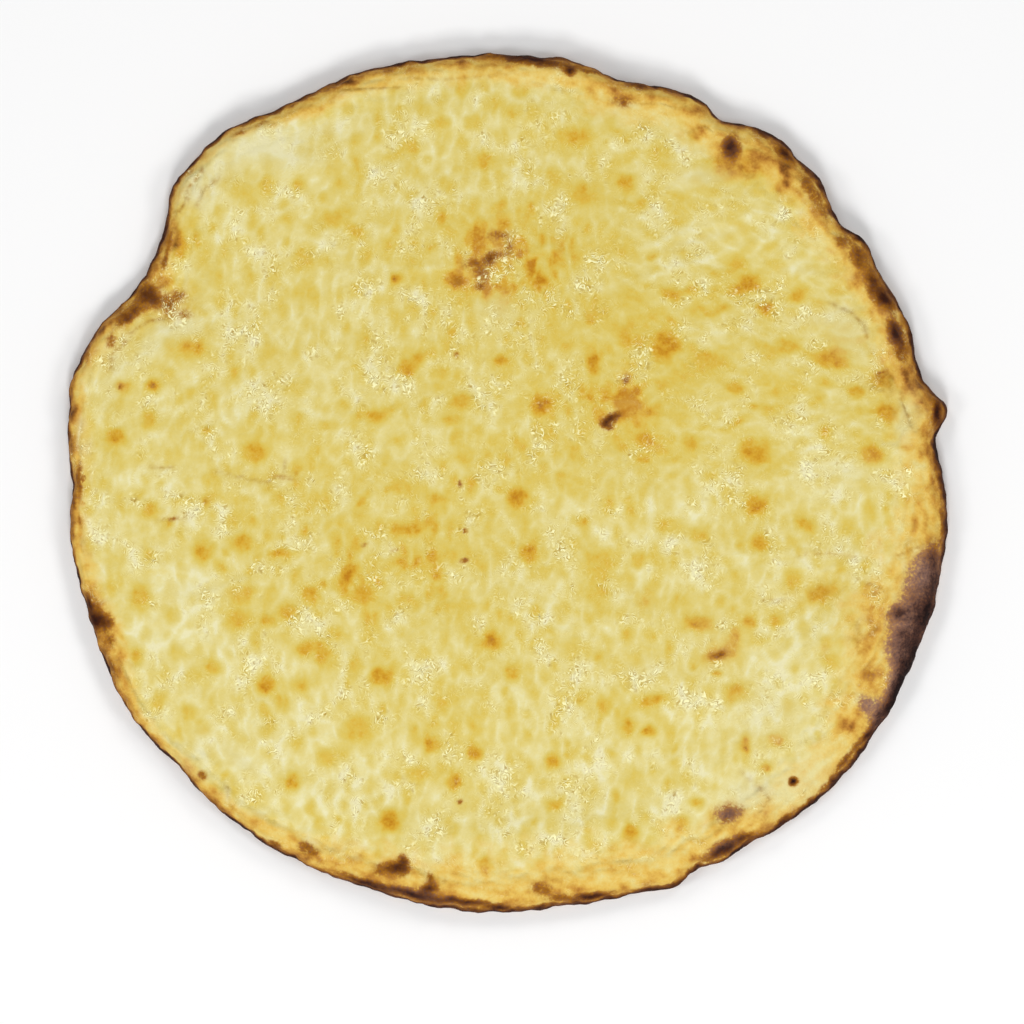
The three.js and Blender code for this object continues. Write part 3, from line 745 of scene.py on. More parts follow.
angles = np.arange(RIM_SPOKES) * 2 * np.pi / RIM_SPOKES
rim_x, rim_y = ROUND_RADIUS * np.cos(angles), ROUND_RADIUS * np.sin(angles)
nicks = np.zeros(RIM_SPOKES)
for seed, (length, depth) in enumerate(NICK_SIZES, 40):
    nicks += depth * ripple(rim_x, rim_y, length, seed)
ragged_outline = outline + nicks

bread_tree = surface_of(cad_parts["bread"])


def dough_under(radius):
    """The height of the model's dough at a radius on each spoke, smoothed round the ring."""
    x, y = hub[0] + radius * np.cos(angles), hub[1] + radius * np.sin(angles)
    heights = drop(bread_tree, x, y, DOUGH_HEIGHT)
    return smooth_ring(smooth_ring(heights, CAD_SPOKES), RIM_SPOKES)


real_section = np.array(section(ragged_outline, cheese_edge, crown, dough_under))
points = mesh_points(bread)
plain = np.array(plain_section)
radius = np.hypot(points[:, 0], points[:, 1])
angle = np.arctan2(points[:, 1], points[:, 0])
spoke = np.round(angle * RIM_SPOKES / (2 * np.pi)).astype(int) % RIM_SPOKES
bread_place = np.empty(len(points), int)
for start in range(0, len(points), AT_ONCE):
    part = slice(start, start + AT_ONCE)
    away = (radius[part, None] - plain[None, :, 0]) ** 2 + (points[part, 2, None] - plain[None, :, 1]) ** 2
    bread_place[part] = np.argmin(away, axis=1)
new_radius = real_section[bread_place, 0, spoke]
new_height = real_section[bread_place, 1, spoke]
points[:, 0] = hub[0] + new_radius * np.cos(angle)
points[:, 1] = hub[1] + new_radius * np.sin(angle)
points[:, 2] = new_height
move_points(bread, points)
print("the loaf now reaches", np.hypot(points[:, 0], points[:, 1]).max().round(1), "mm from its middle")

# %% [markdown]
# ## Relief
# Bread and cheese share one relief, so that the surface runs on without a step where the cheese ends.
# Slow swells come first, then sharp wrinkles, then the marks: blisters and burns stand up, folds sink
# in and strands of cheese run over the top. The marks' outlines are bent a little by ripples, because
# nothing that bubbles in an oven is a perfect oval.

# %% Relief
SWELLS = [(15, 0.22, 70), (7, 0.1, 72)]  # width and height in mm, and seed
WRINKLES = [(5.5, 0.1, 74), (2.6, 0.07, 76)]
RAISED_MARKS = [  # marks, height in mm and sharpness
    (BLISTERS, 0.4, 1.25), (GOLDEN_PATCHES, 0.15, 1), (BURNS, 0.3, 1.25), (STREWN_PATCHES, 0.1, 1),
]
STRAND_HEIGHT = 0.35  # mm
FOLD_DEPTH = 0.28


def bend(x, y):
    """The places moved about by up to a millimetre, which makes ovals uneven."""
    bent_x = x + 0.55 * ripple(x, y, 4.0, 60) + 0.12 * ripple(x, y, 1.6, 62)
    bent_y = y + 0.55 * ripple(x, y, 4.0, 64) + 0.12 * ripple(x, y, 1.6, 66)
    return bent_x, bent_y


def wander(x, y):
    """The places moved a little to either side, which keeps folds from running straight."""
    return x + 0.3 * ripple(x, y, 2.5, 68), y


def relief(x, y):
    """The height in mm that the baked surface stands above its smooth form."""
    bent, near = bend(x, y), wander(x, y)
    total = sum(height * ripple(x, y, width, seed) for width, height, seed in SWELLS)
    total += sum(height * ridge(*bent, width, seed) for width, height, seed in WRINKLES)
    for marks, height, sharpness in RAISED_MARKS:
        total += height * cover(*bent, marks, sharpness)
    total += STRAND_HEIGHT * groove(*bent, STRANDS)
    return total + overlap(*near, LAPS) - FOLD_DEPTH * groove(*near, FOLDS)


def ring_at(ring, x, y):
    """The value of a ring of spokes in the direction of each point."""
    turn = np.arctan2(y - hub[1], x - hub[0]) * RIM_SPOKES / (2 * np.pi)
    return np.interp(turn % RIM_SPOKES, np.arange(RIM_SPOKES + 1), np.append(ring, ring[0]))


def from_outline(x, y):
    """How far in from the outline each point lies, in mm."""
    return np.maximum(ring_at(ragged_outline, x, y) - np.hypot(x - hub[0], y - hub[1]), 0)


def along_rim(x, y):
    """How far round the rim each point lies, in mm."""
    return ROUND_RADIUS * np.arctan2(y - hub[1], x - hub[0])


def rim_streaks(x, y, from_rim):
    """Ripples drawn out along the rim, three times as long as they are wide."""
    return ripple(along_rim(x, y) / 3, from_rim, 2.2, 112)


def push_out(thing, distance):
    """Moves each point along its own normal by its distance in mm."""
    normals = np.empty(len(thing.data.vertices) * 3)
    thing.data.vertex_normals.foreach_get("vector", normals)
    move_points(thing, mesh_points(thing) + normals.reshape(-1, 3) * distance[:, None])


print("the relief stands", relief(np.zeros(1), np.zeros(1))[0].round(2), "mm up in the middle")

# %% The crust's relief
LAST_FOOT_PLACE = UNDER_RINGS + FOOT_RINGS
LAST_SLOPE_PLACE = LAST_FOOT_PLACE + WALL_RINGS + SLOPE_RINGS
RISING_PLACES = (LAST_FOOT_PLACE - 3, LAST_FOOT_PLACE + 8)  # where the relief sets in, up the wall
FADING_PLACES = (LAST_SLOPE_PLACE, LAST_SLOPE_PLACE + 6)  # and where it ends, under the cheese

x, y, z = mesh_points(bread).T
shows = smooth_step(bread_place, *RISING_PLACES) * (1 - smooth_step(bread_place, *FADING_PLACES))
lumps = relief(x, y) + 0.4 * ripple(x, y - z, 8, 78) + 0.3 * ripple(x, y - z, 3.5, 79)
lumps += 0.32 * rim_streaks(x, y, from_outline(x, y))
push_out(bread, shows * lumps)
print("the crust's relief runs to", lumps[shows > 0.5].max().round(2), "mm")

# %% [markdown]
# ## The cheese: a disc of fine squares
# The cheese is one sheet from edge to edge, so a grid suits it better than rings, which crowd together
# in the middle. A square grid is eased into a round one, the round one is stretched to the cheese's
# uneven edge, and each point is lifted to its height over the bread.

# %% The sheet of cheese
CHEESE_CELLS = 296
FILM_START = -0.2  # mm, against the crust: the very edge dips into it
FILM_DEPTH = 0.2  # mm, the film's depth a little further in
FILM_SLOPE = (0.0, 3.5)  # mm from the edge
FILM_SPREAD = 1.8  # mm, how far the film runs up the crust beyond the model's cheese
FULL_SLOPE = (1.0, 14.0)  # mm, where the cheese grows from a film to its full depth
EDGE_RIPPLES = [(12, 1.1, 80), (5, 0.7, 82), (2.4, 0.3, 84)]  # length and depth in mm, and seed

edge_noise = sum(depth * ripple(rim_x, rim_y, length, seed) for length, depth, seed in EDGE_RIPPLES)
ragged_cheese_edge = cheese_edge + FILM_SPREAD + edge_noise
bpy.ops.object.select_all(action="DESELECT")
bpy.ops.mesh.primitive_grid_add(x_subdivisions=CHEESE_CELLS, y_subdivisions=CHEESE_CELLS, size=2.0 * MM)
cheese = bpy.context.object
cheese.name = "melted_cheese"
points = mesh_points(cheese)
u, v = points[:, 0], points[:, 1]
disc_x, disc_y = u * np.sqrt(1 - v * v / 2), v * np.sqrt(1 - u * u / 2)
reach = ring_at(ragged_cheese_edge, hub[0] + disc_x, hub[1] + disc_y)
x, y = hub[0] + disc_x * reach, hub[1] + disc_y * reach
print(len(points), "points in the sheet of cheese")

# %% Laying the cheese on the bread
SOFTENED = 12  # times


def soften(heights, times):
    """Blurs the heights of the sheet, which lie row by row."""
    side = CHEESE_CELLS + 1
    sheet = heights.reshape(side, side)
    for _ in range(times):
        padded = np.pad(sheet, 1, mode="edge")
        beside = padded[:-2, 1:-1] + padded[2:, 1:-1] + padded[1:-1, :-2] + padded[1:-1, 2:]
        sheet = (sheet * 2 + beside) / 6
    return sheet.ravel()


cheese_tree = surface_of(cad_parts["cheese"])
crust_tree = surface_of(bread, 0.05)
on_crust = drop(crust_tree, x, y, DOUGH_HEIGHT)
model_top = drop(cheese_tree, x, y, -1.0)
model_top = np.where(model_top < 0, on_crust + FILM_DEPTH, model_top)
inward = (1 - np.hypot(disc_x, disc_y)) * reach
film_top = on_crust + blend(FILM_START, FILM_DEPTH, smooth_step(inward, *FILM_SLOPE))
full_top = soften(model_top, SOFTENED) + relief(x, y)
top = blend(film_top, np.maximum(full_top, on_crust + FILM_DEPTH), smooth_step(inward, *FULL_SLOPE))
move_points(cheese, np.column_stack([x, y, top]))
print("the cheese's top runs from", top.min().round(1), "to", top.max().round(1), "mm")

# %% [markdown]
# The sheet is closed underneath by extruding its border: down into the dough, and then inwards along
# it, ring by ring, to a point in the middle. The underside touches the bread all over, as cheese does
# that has melted onto it.

# %% Closing the cheese underneath
UNDERSIDE_SHARES = [1.0, 0.985, 0.94, 0.8, 0.6, 0.35]
UNDERSIDE_SINK = 0.3  # mm, into the soft surface of the dough

top_count = len(cheese.data.vertices)
border_count = 4 * CHEESE_CELLS
bpy.ops.object.mode_set(mode="EDIT")
bpy.ops.mesh.select_mode(type="VERT")
bpy.ops.mesh.select_all(action="DESELECT")
bpy.ops.mesh.select_non_manifold(extend=False, use_wire=False, use_multi_face=False, use_verts=False)
for share in UNDERSIDE_SHARES + [0.0]:
    bpy.ops.mesh.extrude_edges_move(TRANSFORM_OT_translate={"value": (0, 0, -0.1 * MM)})
bpy.ops.mesh.merge(type="CENTER")
bpy.ops.object.mode_set(mode="OBJECT")

points = mesh_points(cheese)
for ring, share in enumerate(UNDERSIDE_SHARES):
    block = slice(top_count + ring * border_count, top_count + (ring + 1) * border_count)
    points[block, :2] = hub + (points[block, :2] - hub) * share
    on_crust = drop(crust_tree, points[block, 0], points[block, 1], DOUGH_HEIGHT)
    points[block, 2] = on_crust - UNDERSIDE_SINK
points[-1] = (*hub, DOUGH_HEIGHT - UNDERSIDE_SINK)
move_points(cheese, points)
bpy.ops.object.mode_set(mode="EDIT")
bpy.ops.mesh.select_all(action="SELECT")
bpy.ops.mesh.normals_make_consistent(inside=False)
bpy.ops.object.mode_set(mode="OBJECT")
for piece in (bread, cheese):
    piece.data.shade_smooth()
    piece.data.calc_loop_triangles()
    print(piece.name, "has", len(piece.data.loop_triangles), "triangles")

# %% [markdown]
# ## How brown, how burnt
# Each point of both pieces gets a few numbers that the finishes read: how brown the cheese is, how far
# the crust is toasted, how burnt, how oily and so on. Bread and cheese use the same rules, so that one
# turns into the other without a line where no fold parts them. The slow changes come first: some sides
# of the bread are paler, and the crust's colour reaches farther in on some.

# %% Slow changes
TINTS = [
    (530, 265, 110, 70, 0.1), (690, 210, 80, 60, 0.12), (330, 790, 100, 140, -0.12),
    (450, 345, 90, 60, 0.1), (750, 390, 60, 60, 0.08), (640, 450, 80, 60, 0.12), (580, 700, 120, 60, 0.08),
    (660, 90, 100, 40, 0.1), (520, 275, 190, 130, 0.32), (640, 400, 170, 170, 0.24),
    (430, 540, 190, 140, 0.22), (400, 690, 200, 120, 0.08), (450, 750, 70, 70, 0.12),
    (840, 330, 110, 80, 0.14), (300, 470, 150, 120, 0.06), (690, 610, 110, 70, 0.1),
    (190, 630, 110, 90, -0.1), (150, 620, 150, 120, -0.14), (270, 740, 180, 140, -0.12),
    (560, 760, 260, 140, -0.1), (780, 690, 140, 130, -0.2), (260, 130, 120, 70, -0.1),
    (240, 400, 160, 100, -0.06), (150, 490, 100, 120, -0.08), (800, 480, 160, 90, -0.1),
    (490, 268, 80, 60, 0.12), (660, 95, 100, 50, 0.1), (225, 150, 70, 50, 0.14), (800, 335, 110, 60, 0.1),
    (515, 448, 80, 60, 0.14), (610, 390, 110, 60, 0.1), (410, 572, 80, 60, 0.1), (250, 510, 90, 60, 0.07),
    (620, 670, 100, 80, 0.1), (370, 775, 90, 90, -0.13), (400, 860, 150, 50, -0.16),
    (510, 690, 60, 60, -0.09), (510, 570, 60, 60, -0.1), (690, 485, 70, 90, -0.11),
    (800, 630, 90, 80, -0.11), (690, 815, 150, 90, -0.1), (230, 650, 100, 90, -0.11),
    (690, 150, 70, 50, -0.09), (560, 232, 30, 40, 0.15),
]
CRUST_REACH = [  # degrees anticlockwise from the right, and how far in the crust's colour reaches, pixels
    (0, 40), (12, 32), (25, 42), (40, 38), (52, 46), (75, 36), (95, 27), (120, 20), (138, 10), (150, 26),
    (160, 15), (182, 10), (200, 28), (212, 13), (228, 14), (245, 34), (262, 58), (285, 58), (308, 42),
    (325, 50), (338, 82), (352, 62),
]
crust_reach = PIXEL * np.interp(np.degrees(angles), *np.transpose(CRUST_REACH), period=360)


def tint(x, y):
    """Slow changes over the whole bread: paler towards the front, browner in the middle and behind."""
    total = np.zeros_like(x)
    for across, down, width, height, amount in TINTS:
        total += amount * cover(x, y, [(across, down, width, height, 1.0)], 1)
    return total


print("the crust's colour reaches", crust_reach.min().round(1), "to", crust_reach.max().round(1), "mm in")

# %% [markdown]
# The marks are then laid out. Blisters have a golden surround wider than themselves, and fat gathers in
# clumps all over the cheese, more of it in the oily patches and less on the blisters.

# %% Laying out the marks
PATCH_SHARPNESS = 1.7
BLISTER_SHARPNESS = 1.8
BLISTER_GROWTH = 1.2
SURROUND_GROWTH = 1.8


def grown(marks, factor):
    """The same marks, wider and higher by a factor."""
    return [(mark[0], mark[1], mark[2] * factor, mark[3] * factor, *mark[4:]) for mark in marks]


def laid_marks(x, y):
    """How strongly each kind of mark covers each point, by name."""
    bent = bend(x, y)
    blisters = cover(*bent, grown(BLISTERS, BLISTER_GROWTH), BLISTER_SHARPNESS)
    patches = np.maximum(
        cover(*bent, GOLDEN_PATCHES, PATCH_SHARPNESS),
        cover(*bent, STREWN_PATCHES, PATCH_SHARPNESS),
    )
    golden = np.maximum(1.8 * patches, cover(*bent, grown(BLISTERS, SURROUND_GROWTH)))
    # the fat gathers in clumps, and the clumps also set where glints are painted into the colour
    clumps = 1.2 * ripple(x, y, 14, 108) + 1.1 * ripple(x, y, 6, 110)
    fat = 0.055 * np.exp(2.0 * clumps) + 0.45 * cover(*bent, FAT_AND_PAINTED_GLINT_PATCHES, 1)
    return {
        "blisters": blisters,
        "golden": np.clip(golden, 0, 1),
        "fat_and_painted_glints": fat * (1 - 0.6 * blisters),
        "halos": cover(*bent, HALOS, 1),
        "toasted": cover(*bent, TOASTED, 1),
        "pale": cover(*bent, PALE_PATCHES, 1),
        "strands": groove(*bent, STRANDS),
    }


print("kinds of marks:", ", ".join(laid_marks(np.zeros(1), np.zeros(1))))

# %% [markdown]
# Between its marks the cheese is streaked as the dough was pulled, with a net of pale strands. The
# streaks run up and down, and slant on the upper right.

# %% The cheese's browning
BROWN_GROUND = 0.39
GOLDEN_LEVEL = 0.76
BLISTER_LEVEL = 0.97
STREAK_SQUEEZE = 0.55  # lengths along the streaks are read this much shorter, which draws them out
SLANT = (0.34, 0.94)  # the direction across the slanting streaks
SLANT_FROM = (15, -15)  # mm, right of and above this the streaks begin to slant
SLANT_FULL = (50, 20)


def pulled(across, along):
    """Browner and paler streaks, a few millimetres wide, and a net of pale strands."""
    along = STREAK_SQUEEZE * along
    streaks = 0.21 * ripple(across, along, 4.5, 92) + 0.13 * ripple(across, along, 2.4, 94)
    net = ridge(across, along, 4.8, 118) - 0.25
    return np.array([streaks, net])


def browning(x, y, laid):
    """How brown the cheese is at each point, given the marks laid there."""
    bent_x, bent_y = bend(x, y)
    slant_x = SLANT[0] * bent_x + SLANT[1] * bent_y
    slant_y = SLANT[1] * bent_x - SLANT[0] * bent_y
    slanted = smooth_step(x, SLANT_FROM[0], SLANT_FULL[0]) * smooth_step(y, SLANT_FROM[1], SLANT_FULL[1])
    streaks, net = blend(pulled(bent_x, bent_y), pulled(slant_x, slant_y), slanted)
    mottle = 0.13 * ripple(bent_x, bent_y, 12, 90) + streaks - 0.26 * net
    mottle += tint(x, y) - 0.4 * laid["strands"] - 0.35 * laid["pale"] - 0.4 * np.minimum(laid["fat_and_painted_glints"], 0.8)
    brown = blend(BROWN_GROUND + mottle, GOLDEN_LEVEL + 0.4 * mottle, laid["golden"])
    brown += 0.3 * laid["halos"] + 0.35 * laid["toasted"]
    return blend(brown, BLISTER_LEVEL, laid["blisters"])


middle_brown = browning(np.zeros(1), np.zeros(1), laid_marks(np.zeros(1), np.zeros(1)))
print("the browning in the middle is", middle_brown[0].round(2))

# %% [markdown]
# The crust is toasted most in a thin line along its edge, less in the few millimetres behind it, and in
# streaks that follow the rim.

# %% The crust's toasting
DARK_EDGE = 0.6  # mm, the usual width of the dark line, before it is made uneven
DARK_FADE = (0.4, 3.5)  # where it fades, in widths of the line
WARM_EDGE = (2, 9)  # mm, where the toasting behind the line fades


def toasting(x, y, from_rim, laid):
    """How far each point belongs to the crust, and how toasted it is, given the marks laid there."""
    bent_x, bent_y = bend(x, y)
    inset = np.maximum(from_rim + 0.5 * ripple(x, y, 5, 100) + 0.3 * ripple(x, y, 2.2, 102), 0)
    uneven = 0.3 * ripple(x, y, 8, 96) + 0.15 * ripple(x, y, 2.5, 98)
    crust = 1 - smooth_step(inset / ring_at(crust_reach, x, y) + uneven, 0.6, 1.3)
    line = DARK_EDGE * np.exp(1.1 * ripple(x, y, 11, 114) + 0.5 * ripple(x, y, 4, 116))
    toast = 0.18 + 0.14 * (1 - smooth_step(inset, *WARM_EDGE))
    toast += 0.3 * (1 - smooth_step(inset / line, *DARK_FADE)) + 0.14 * rim_streaks(x, y, from_rim)
    toast += 0.12 * ripple(bent_x, bent_y, 9, 104) + 0.12 * ripple(bent_x, bent_y, 3, 106)
    toast += 0.45 * laid["toasted"] - 0.3 * laid["pale"] + 0.3 * laid["blisters"] + 0.15 * laid["golden"]
    return crust, toast


print("the crust's dark line is about", DARK_EDGE * DARK_FADE[1], "mm wide, faded edge and all")

# %% [markdown]
# All of this comes together in one list of marks for a piece. The lower wall is darkened as well, as on
# bread baked on a hot stone. The foot that tucks in under it is as pale as the underside.

# %% The marks of a piece
BURN_SHARPNESS = 0.9
WALL_BURN = 0.8
WALL_BURN_FADE = (0.25, 0.8)  # shares of the way up the wall
WALL_LENGTH = 12  # mm, for the pattern on it
CREASE_GROWTH = 4  # how much wider a fold's painted shade is than its groove
OILY_WET = (0.15, 0.9)
WET_FROM_RIM = (18, 30)  # mm, the crust isn't wet


def finish_marks(x, y, from_rim, climb=1.0):
    """The baked marks at each point, by name. from_rim is how far in from the outline it lies, in mm, and
    climb how high up the wall, from 0 at its widest place to 1 at the crown."""
    laid = laid_marks(x, y)
    crust, toast = toasting(x, y, from_rim, laid)
    along, up = along_rim(x, y), WALL_LENGTH * climb
    climb = climb + 0.14 * ripple(along, up, 7, 120) + 0.08 * ripple(along, up, 2.5, 122)
    wall_burn = WALL_BURN * (1 - smooth_step(climb, *WALL_BURN_FADE))
    # beside each fold, a wider and weaker band of painted shade
    painted_fold_shades = [(CREASE_GROWTH * width, depth, line) for width, depth, line in FOLDS]
    return {
        "brown": np.clip(browning(x, y, laid), 0, 1),
        "crust": np.clip(np.maximum(crust, laid["toasted"]), 0, 1),
        "toast": np.clip(toast, 0, 1),
        "burnt": np.maximum(cover(*bend(x, y), BURNS, BURN_SHARPNESS), wall_burn),
        "ash": cover(*bend(x, y), ASH, 1),
        "fat_and_painted_glints": np.clip(laid["fat_and_painted_glints"] * (1 - 0.6 * crust), 0, 1),
        "wet": 0.8 * smooth_step(laid["fat_and_painted_glints"], *OILY_WET) * smooth_step(from_rim, *WET_FROM_RIM),
        "pale": laid["pale"],
        "crease_and_painted_shade": groove(*wander(x, y), FOLDS) + 0.2 * groove(*bend(x, y), painted_fold_shades),
    }


def keep_marks(thing, marks):
    """Keeps each mark on the points of a piece, where its finish can read it."""
    for name, values in marks.items():
        attribute = thing.data.attributes.new(name, "FLOAT", "POINT")
        attribute.data.foreach_set("value", values.astype(np.float32))


x, y = mesh_points(cheese)[:, :2].T
marks = finish_marks(x, y, from_outline(x, y))
keep_marks(cheese, marks)
print("the cheese's browning is", marks["brown"].mean().round(2), "on average")

# %% The marks of the bread
FOOT_FADE = (UNDER_RINGS, LAST_FOOT_PLACE + 2)  # rings over which the foot gives way to the burnt wall
UNDERSIDE_FADE = (UNDER_RINGS - 3, UNDER_RINGS + 2)

x, y = mesh_points(bread)[:, :2].T
from_rim = np.where(bread_place <= LAST_FOOT_PLACE, 0, from_outline(x, y))
wall_step = np.clip((bread_place - LAST_FOOT_PLACE) / WALL_RINGS, 0, 1)
marks = finish_marks(x, y, from_rim, np.sin(wall_step * np.pi / 2))
low_wall = 1 - smooth_step(wall_step, 0.3, 0.7)
marks["burnt"] *= smooth_step(bread_place, *FOOT_FADE) * (1 + 0.3 * ripple(x, y, 9, 124) * low_wall)
marks["under"] = 1 - smooth_step(bread_place, *UNDERSIDE_FADE)
keep_marks(bread, marks)
print("the crust's toasting is", marks["toast"].mean().round(2), "on average")

# %% [markdown]
# ## Writing a finish
# A material is a net of nodes. Wrapping a socket in a small class lets the net be written as ordinary
# sums: an expression on values adds the Math nodes for it. Colours go through Mix nodes, because a Math
# node would turn them grey.

# %% Writing a finish
class Value:
    """A socket of a finish, which can be added, multiplied and so on like a number."""

    def __init__(self, finish, socket):
        self.finish = finish
        self.socket = socket

    def __add__(self, other):
        return self.finish.sum("ADD", self, other)

    def __sub__(self, other):
        return self.finish.sum("SUBTRACT", self, other)

    def __rsub__(self, other):
        return self.finish.sum("SUBTRACT", other, self)

    def __mul__(self, other):
        return self.finish.sum("MULTIPLY", self, other)

    __radd__ = __add__
    __rmul__ = __mul__


class Finish:
    """A material under construction."""

    def __init__(self, name):
        self.material = bpy.data.materials.new(name)
        self.material.use_nodes = True
        self.nodes = self.material.node_tree.nodes
        self.links = self.material.node_tree.links
        self.surface = self.nodes["Principled BSDF"]

    def join(self, socket, value):
        """Links a value to a socket, or sets the socket to a plain number or colour."""
        if isinstance(value, Value):
            self.links.new(value.socket, socket)
        else:
            socket.default_value = value

    def node(self, kind, settings, sockets, output=0):
        """Adds a node: its settings first, then the values or links of its sockets."""
        made = self.nodes.new(kind)
        stops = settings.pop("stops", None)
        for name, value in settings.items():
            setattr(made, name, value)
        if stops:
            elements = made.color_ramp.elements
            while len(elements) < len(stops):
                elements.new(1.0)
            for element, (position, colour) in zip(elements, stops):
                element.position = position
                element.color = colour
        for name, value in sockets.items():
            self.join(made.inputs[name], value)
        return Value(self, made.outputs[output])

    def sum(self, operation, first, second):
        """A Math node on two values."""
        return self.node("ShaderNodeMath", {"operation": operation}, {0: first, 1: second})

    def mark(self, name):
        """One of the numbers kept on the piece's points."""
        return self.node("ShaderNodeAttribute", {"attribute_name": name}, {}, "Fac")

    def mix(self, share, first, second):
        """A colour between two colours."""
        settings = {"data_type": "RGBA", "clamp_factor": True}
        return self.node("ShaderNodeMix", settings, {0: share, 6: first, 7: second}, 2)

    def ramp(self, value, stops):
        """The colour that a value has on a scale of stops."""
        return self.node("ShaderNodeValToRGB", {"stops": stops}, {0: value}, 0)

    def step(self, value, low, high):
        """0 below low, 1 above high and a smooth rise between them."""
        settings = {"interpolation_type": "SMOOTHSTEP"}
        return self.node("ShaderNodeMapRange", settings, {0: value, 1: low, 2: high}, 0)


VEIL = 0.010  # the pale shine that gloss lays over every colour, in linear light
LIGHT = 1.03  # how much brighter than its own colour a level surface shows under these lamps


def colour(red, green, blue):
    """A colour as the camera should see it, 0 to 255, made linear and freed of the lamps and the shine."""
    shares = [channel / 255 for channel in (red, green, blue)]
    linear = [s / 12.92 if s <= 0.04045 else ((s + 0.055) / 1.055) ** 2.4 for s in shares]
    return (*[max(light / LIGHT - VEIL, 0.5 * light) for light in linear], 1.0)


# %% [markdown]
# ## Fine texture
# Close to, baked cheese is a felt of melted threads, and its fat lies in tiny wrinkles that glint. Crust has
# flour, pores and finer toast marks. They are far finer than the mesh, so noise on the piece's own
# coordinates draws them; the glints are painted into the colour, as painted highlights with painted shade
# beside them.

# %% Fine texture
def patterns(finish):
    """Noises in mm on the piece's own coordinates: width in mm to a value mostly between -1 and 1."""
    place = finish.node("ShaderNodeTexCoord", {}, {}, "Object")

    def noise(width, seed, roughness=0.5, detail=2.0, pulled=(1, 1, 1), curl=0.0):
        scaled = [1 / (MM * width * side) for side in pulled]
        shift = (seed * 1.37, seed * 2.11, seed * 0.73)
        spread = finish.node("ShaderNodeMapping", {}, {"Vector": place, "Scale": scaled, "Location": shift})
        sockets = {"Vector": spread, "Scale": 1.0, "Detail": detail, "Roughness": roughness}
        sockets["Distortion"] = curl
        return (finish.node("ShaderNodeTexNoise", {}, sockets, 0) - 0.5) * 5

    return noise


# %% [markdown]
# ## The baked colours
# The cheese goes from ivory through straw yellow to the orange-brown of its blisters, the crust from
# straw through golden orange to a dark toasted edge. Burns go on top of both, from tan to almost black,
# or through mauve where ash lies on them.

# %% The baked colours
CHEESE_COLOURS = [
    (0.0, colour(235, 228, 182)), (0.12, colour(231, 221, 161)), (0.25, colour(228, 214, 145)),
    (0.4, colour(224, 207, 128)), (0.55, colour(221, 200, 110)), (0.7, colour(219, 193, 92)),
    (0.8, colour(218, 183, 76)), (0.9, colour(213, 165, 54)), (1.0, colour(192, 130, 32)),
]
CRUST_COLOURS = [
    (0.0, colour(232, 217, 148)), (0.2, colour(231, 203, 116)), (0.35, colour(227, 187, 90)),
    (0.5, colour(208, 156, 68)), (0.62, colour(180, 124, 54)), (0.75, colour(138, 90, 42)),
    (0.88, colour(90, 56, 32)), (1.0, colour(50, 31, 22)),
]
BURNT_COLOURS = [
    (0.0, colour(206, 154, 66)), (0.25, colour(168, 112, 40)), (0.5, colour(118, 72, 26)),
    (0.75, colour(72, 42, 20)), (1.0, colour(38, 24, 20)),
]
ASHEN_COLOURS = [
    (0.0, colour(204, 168, 126)), (0.25, colour(178, 140, 114)), (0.5, colour(138, 106, 94)),
    (0.75, colour(88, 66, 60)), (1.0, colour(48, 34, 32)),
]
PALE_DOUGH = colour(221, 213, 165)
PALE_SHARE = 0.68  # how far a full pale patch turns to that colour
TOASTED_CREASE_AND_PAINTED_SHADE = colour(160, 108, 26)
PAINTED_GLINT = colour(255, 250, 192)  # a painted highlight on the crests of the fat's wrinkles
PAINTED_GLINT_GAIN = 1.8
PAINTED_HOLLOW_SHADE = colour(180, 146, 66)  # painted shade in the hollows between them
PAINTED_HOLLOW_SHADE_GAIN = 1.25
PAINTED_HOLLOW_SHADE_LIMIT = 0.45  # the oiliness beyond which the painted shade in the hollows gets no darker
BASE_SHINE = 0.08  # low, because the wet places have a coat of their own
COAT_ROUGHNESS = 0.2


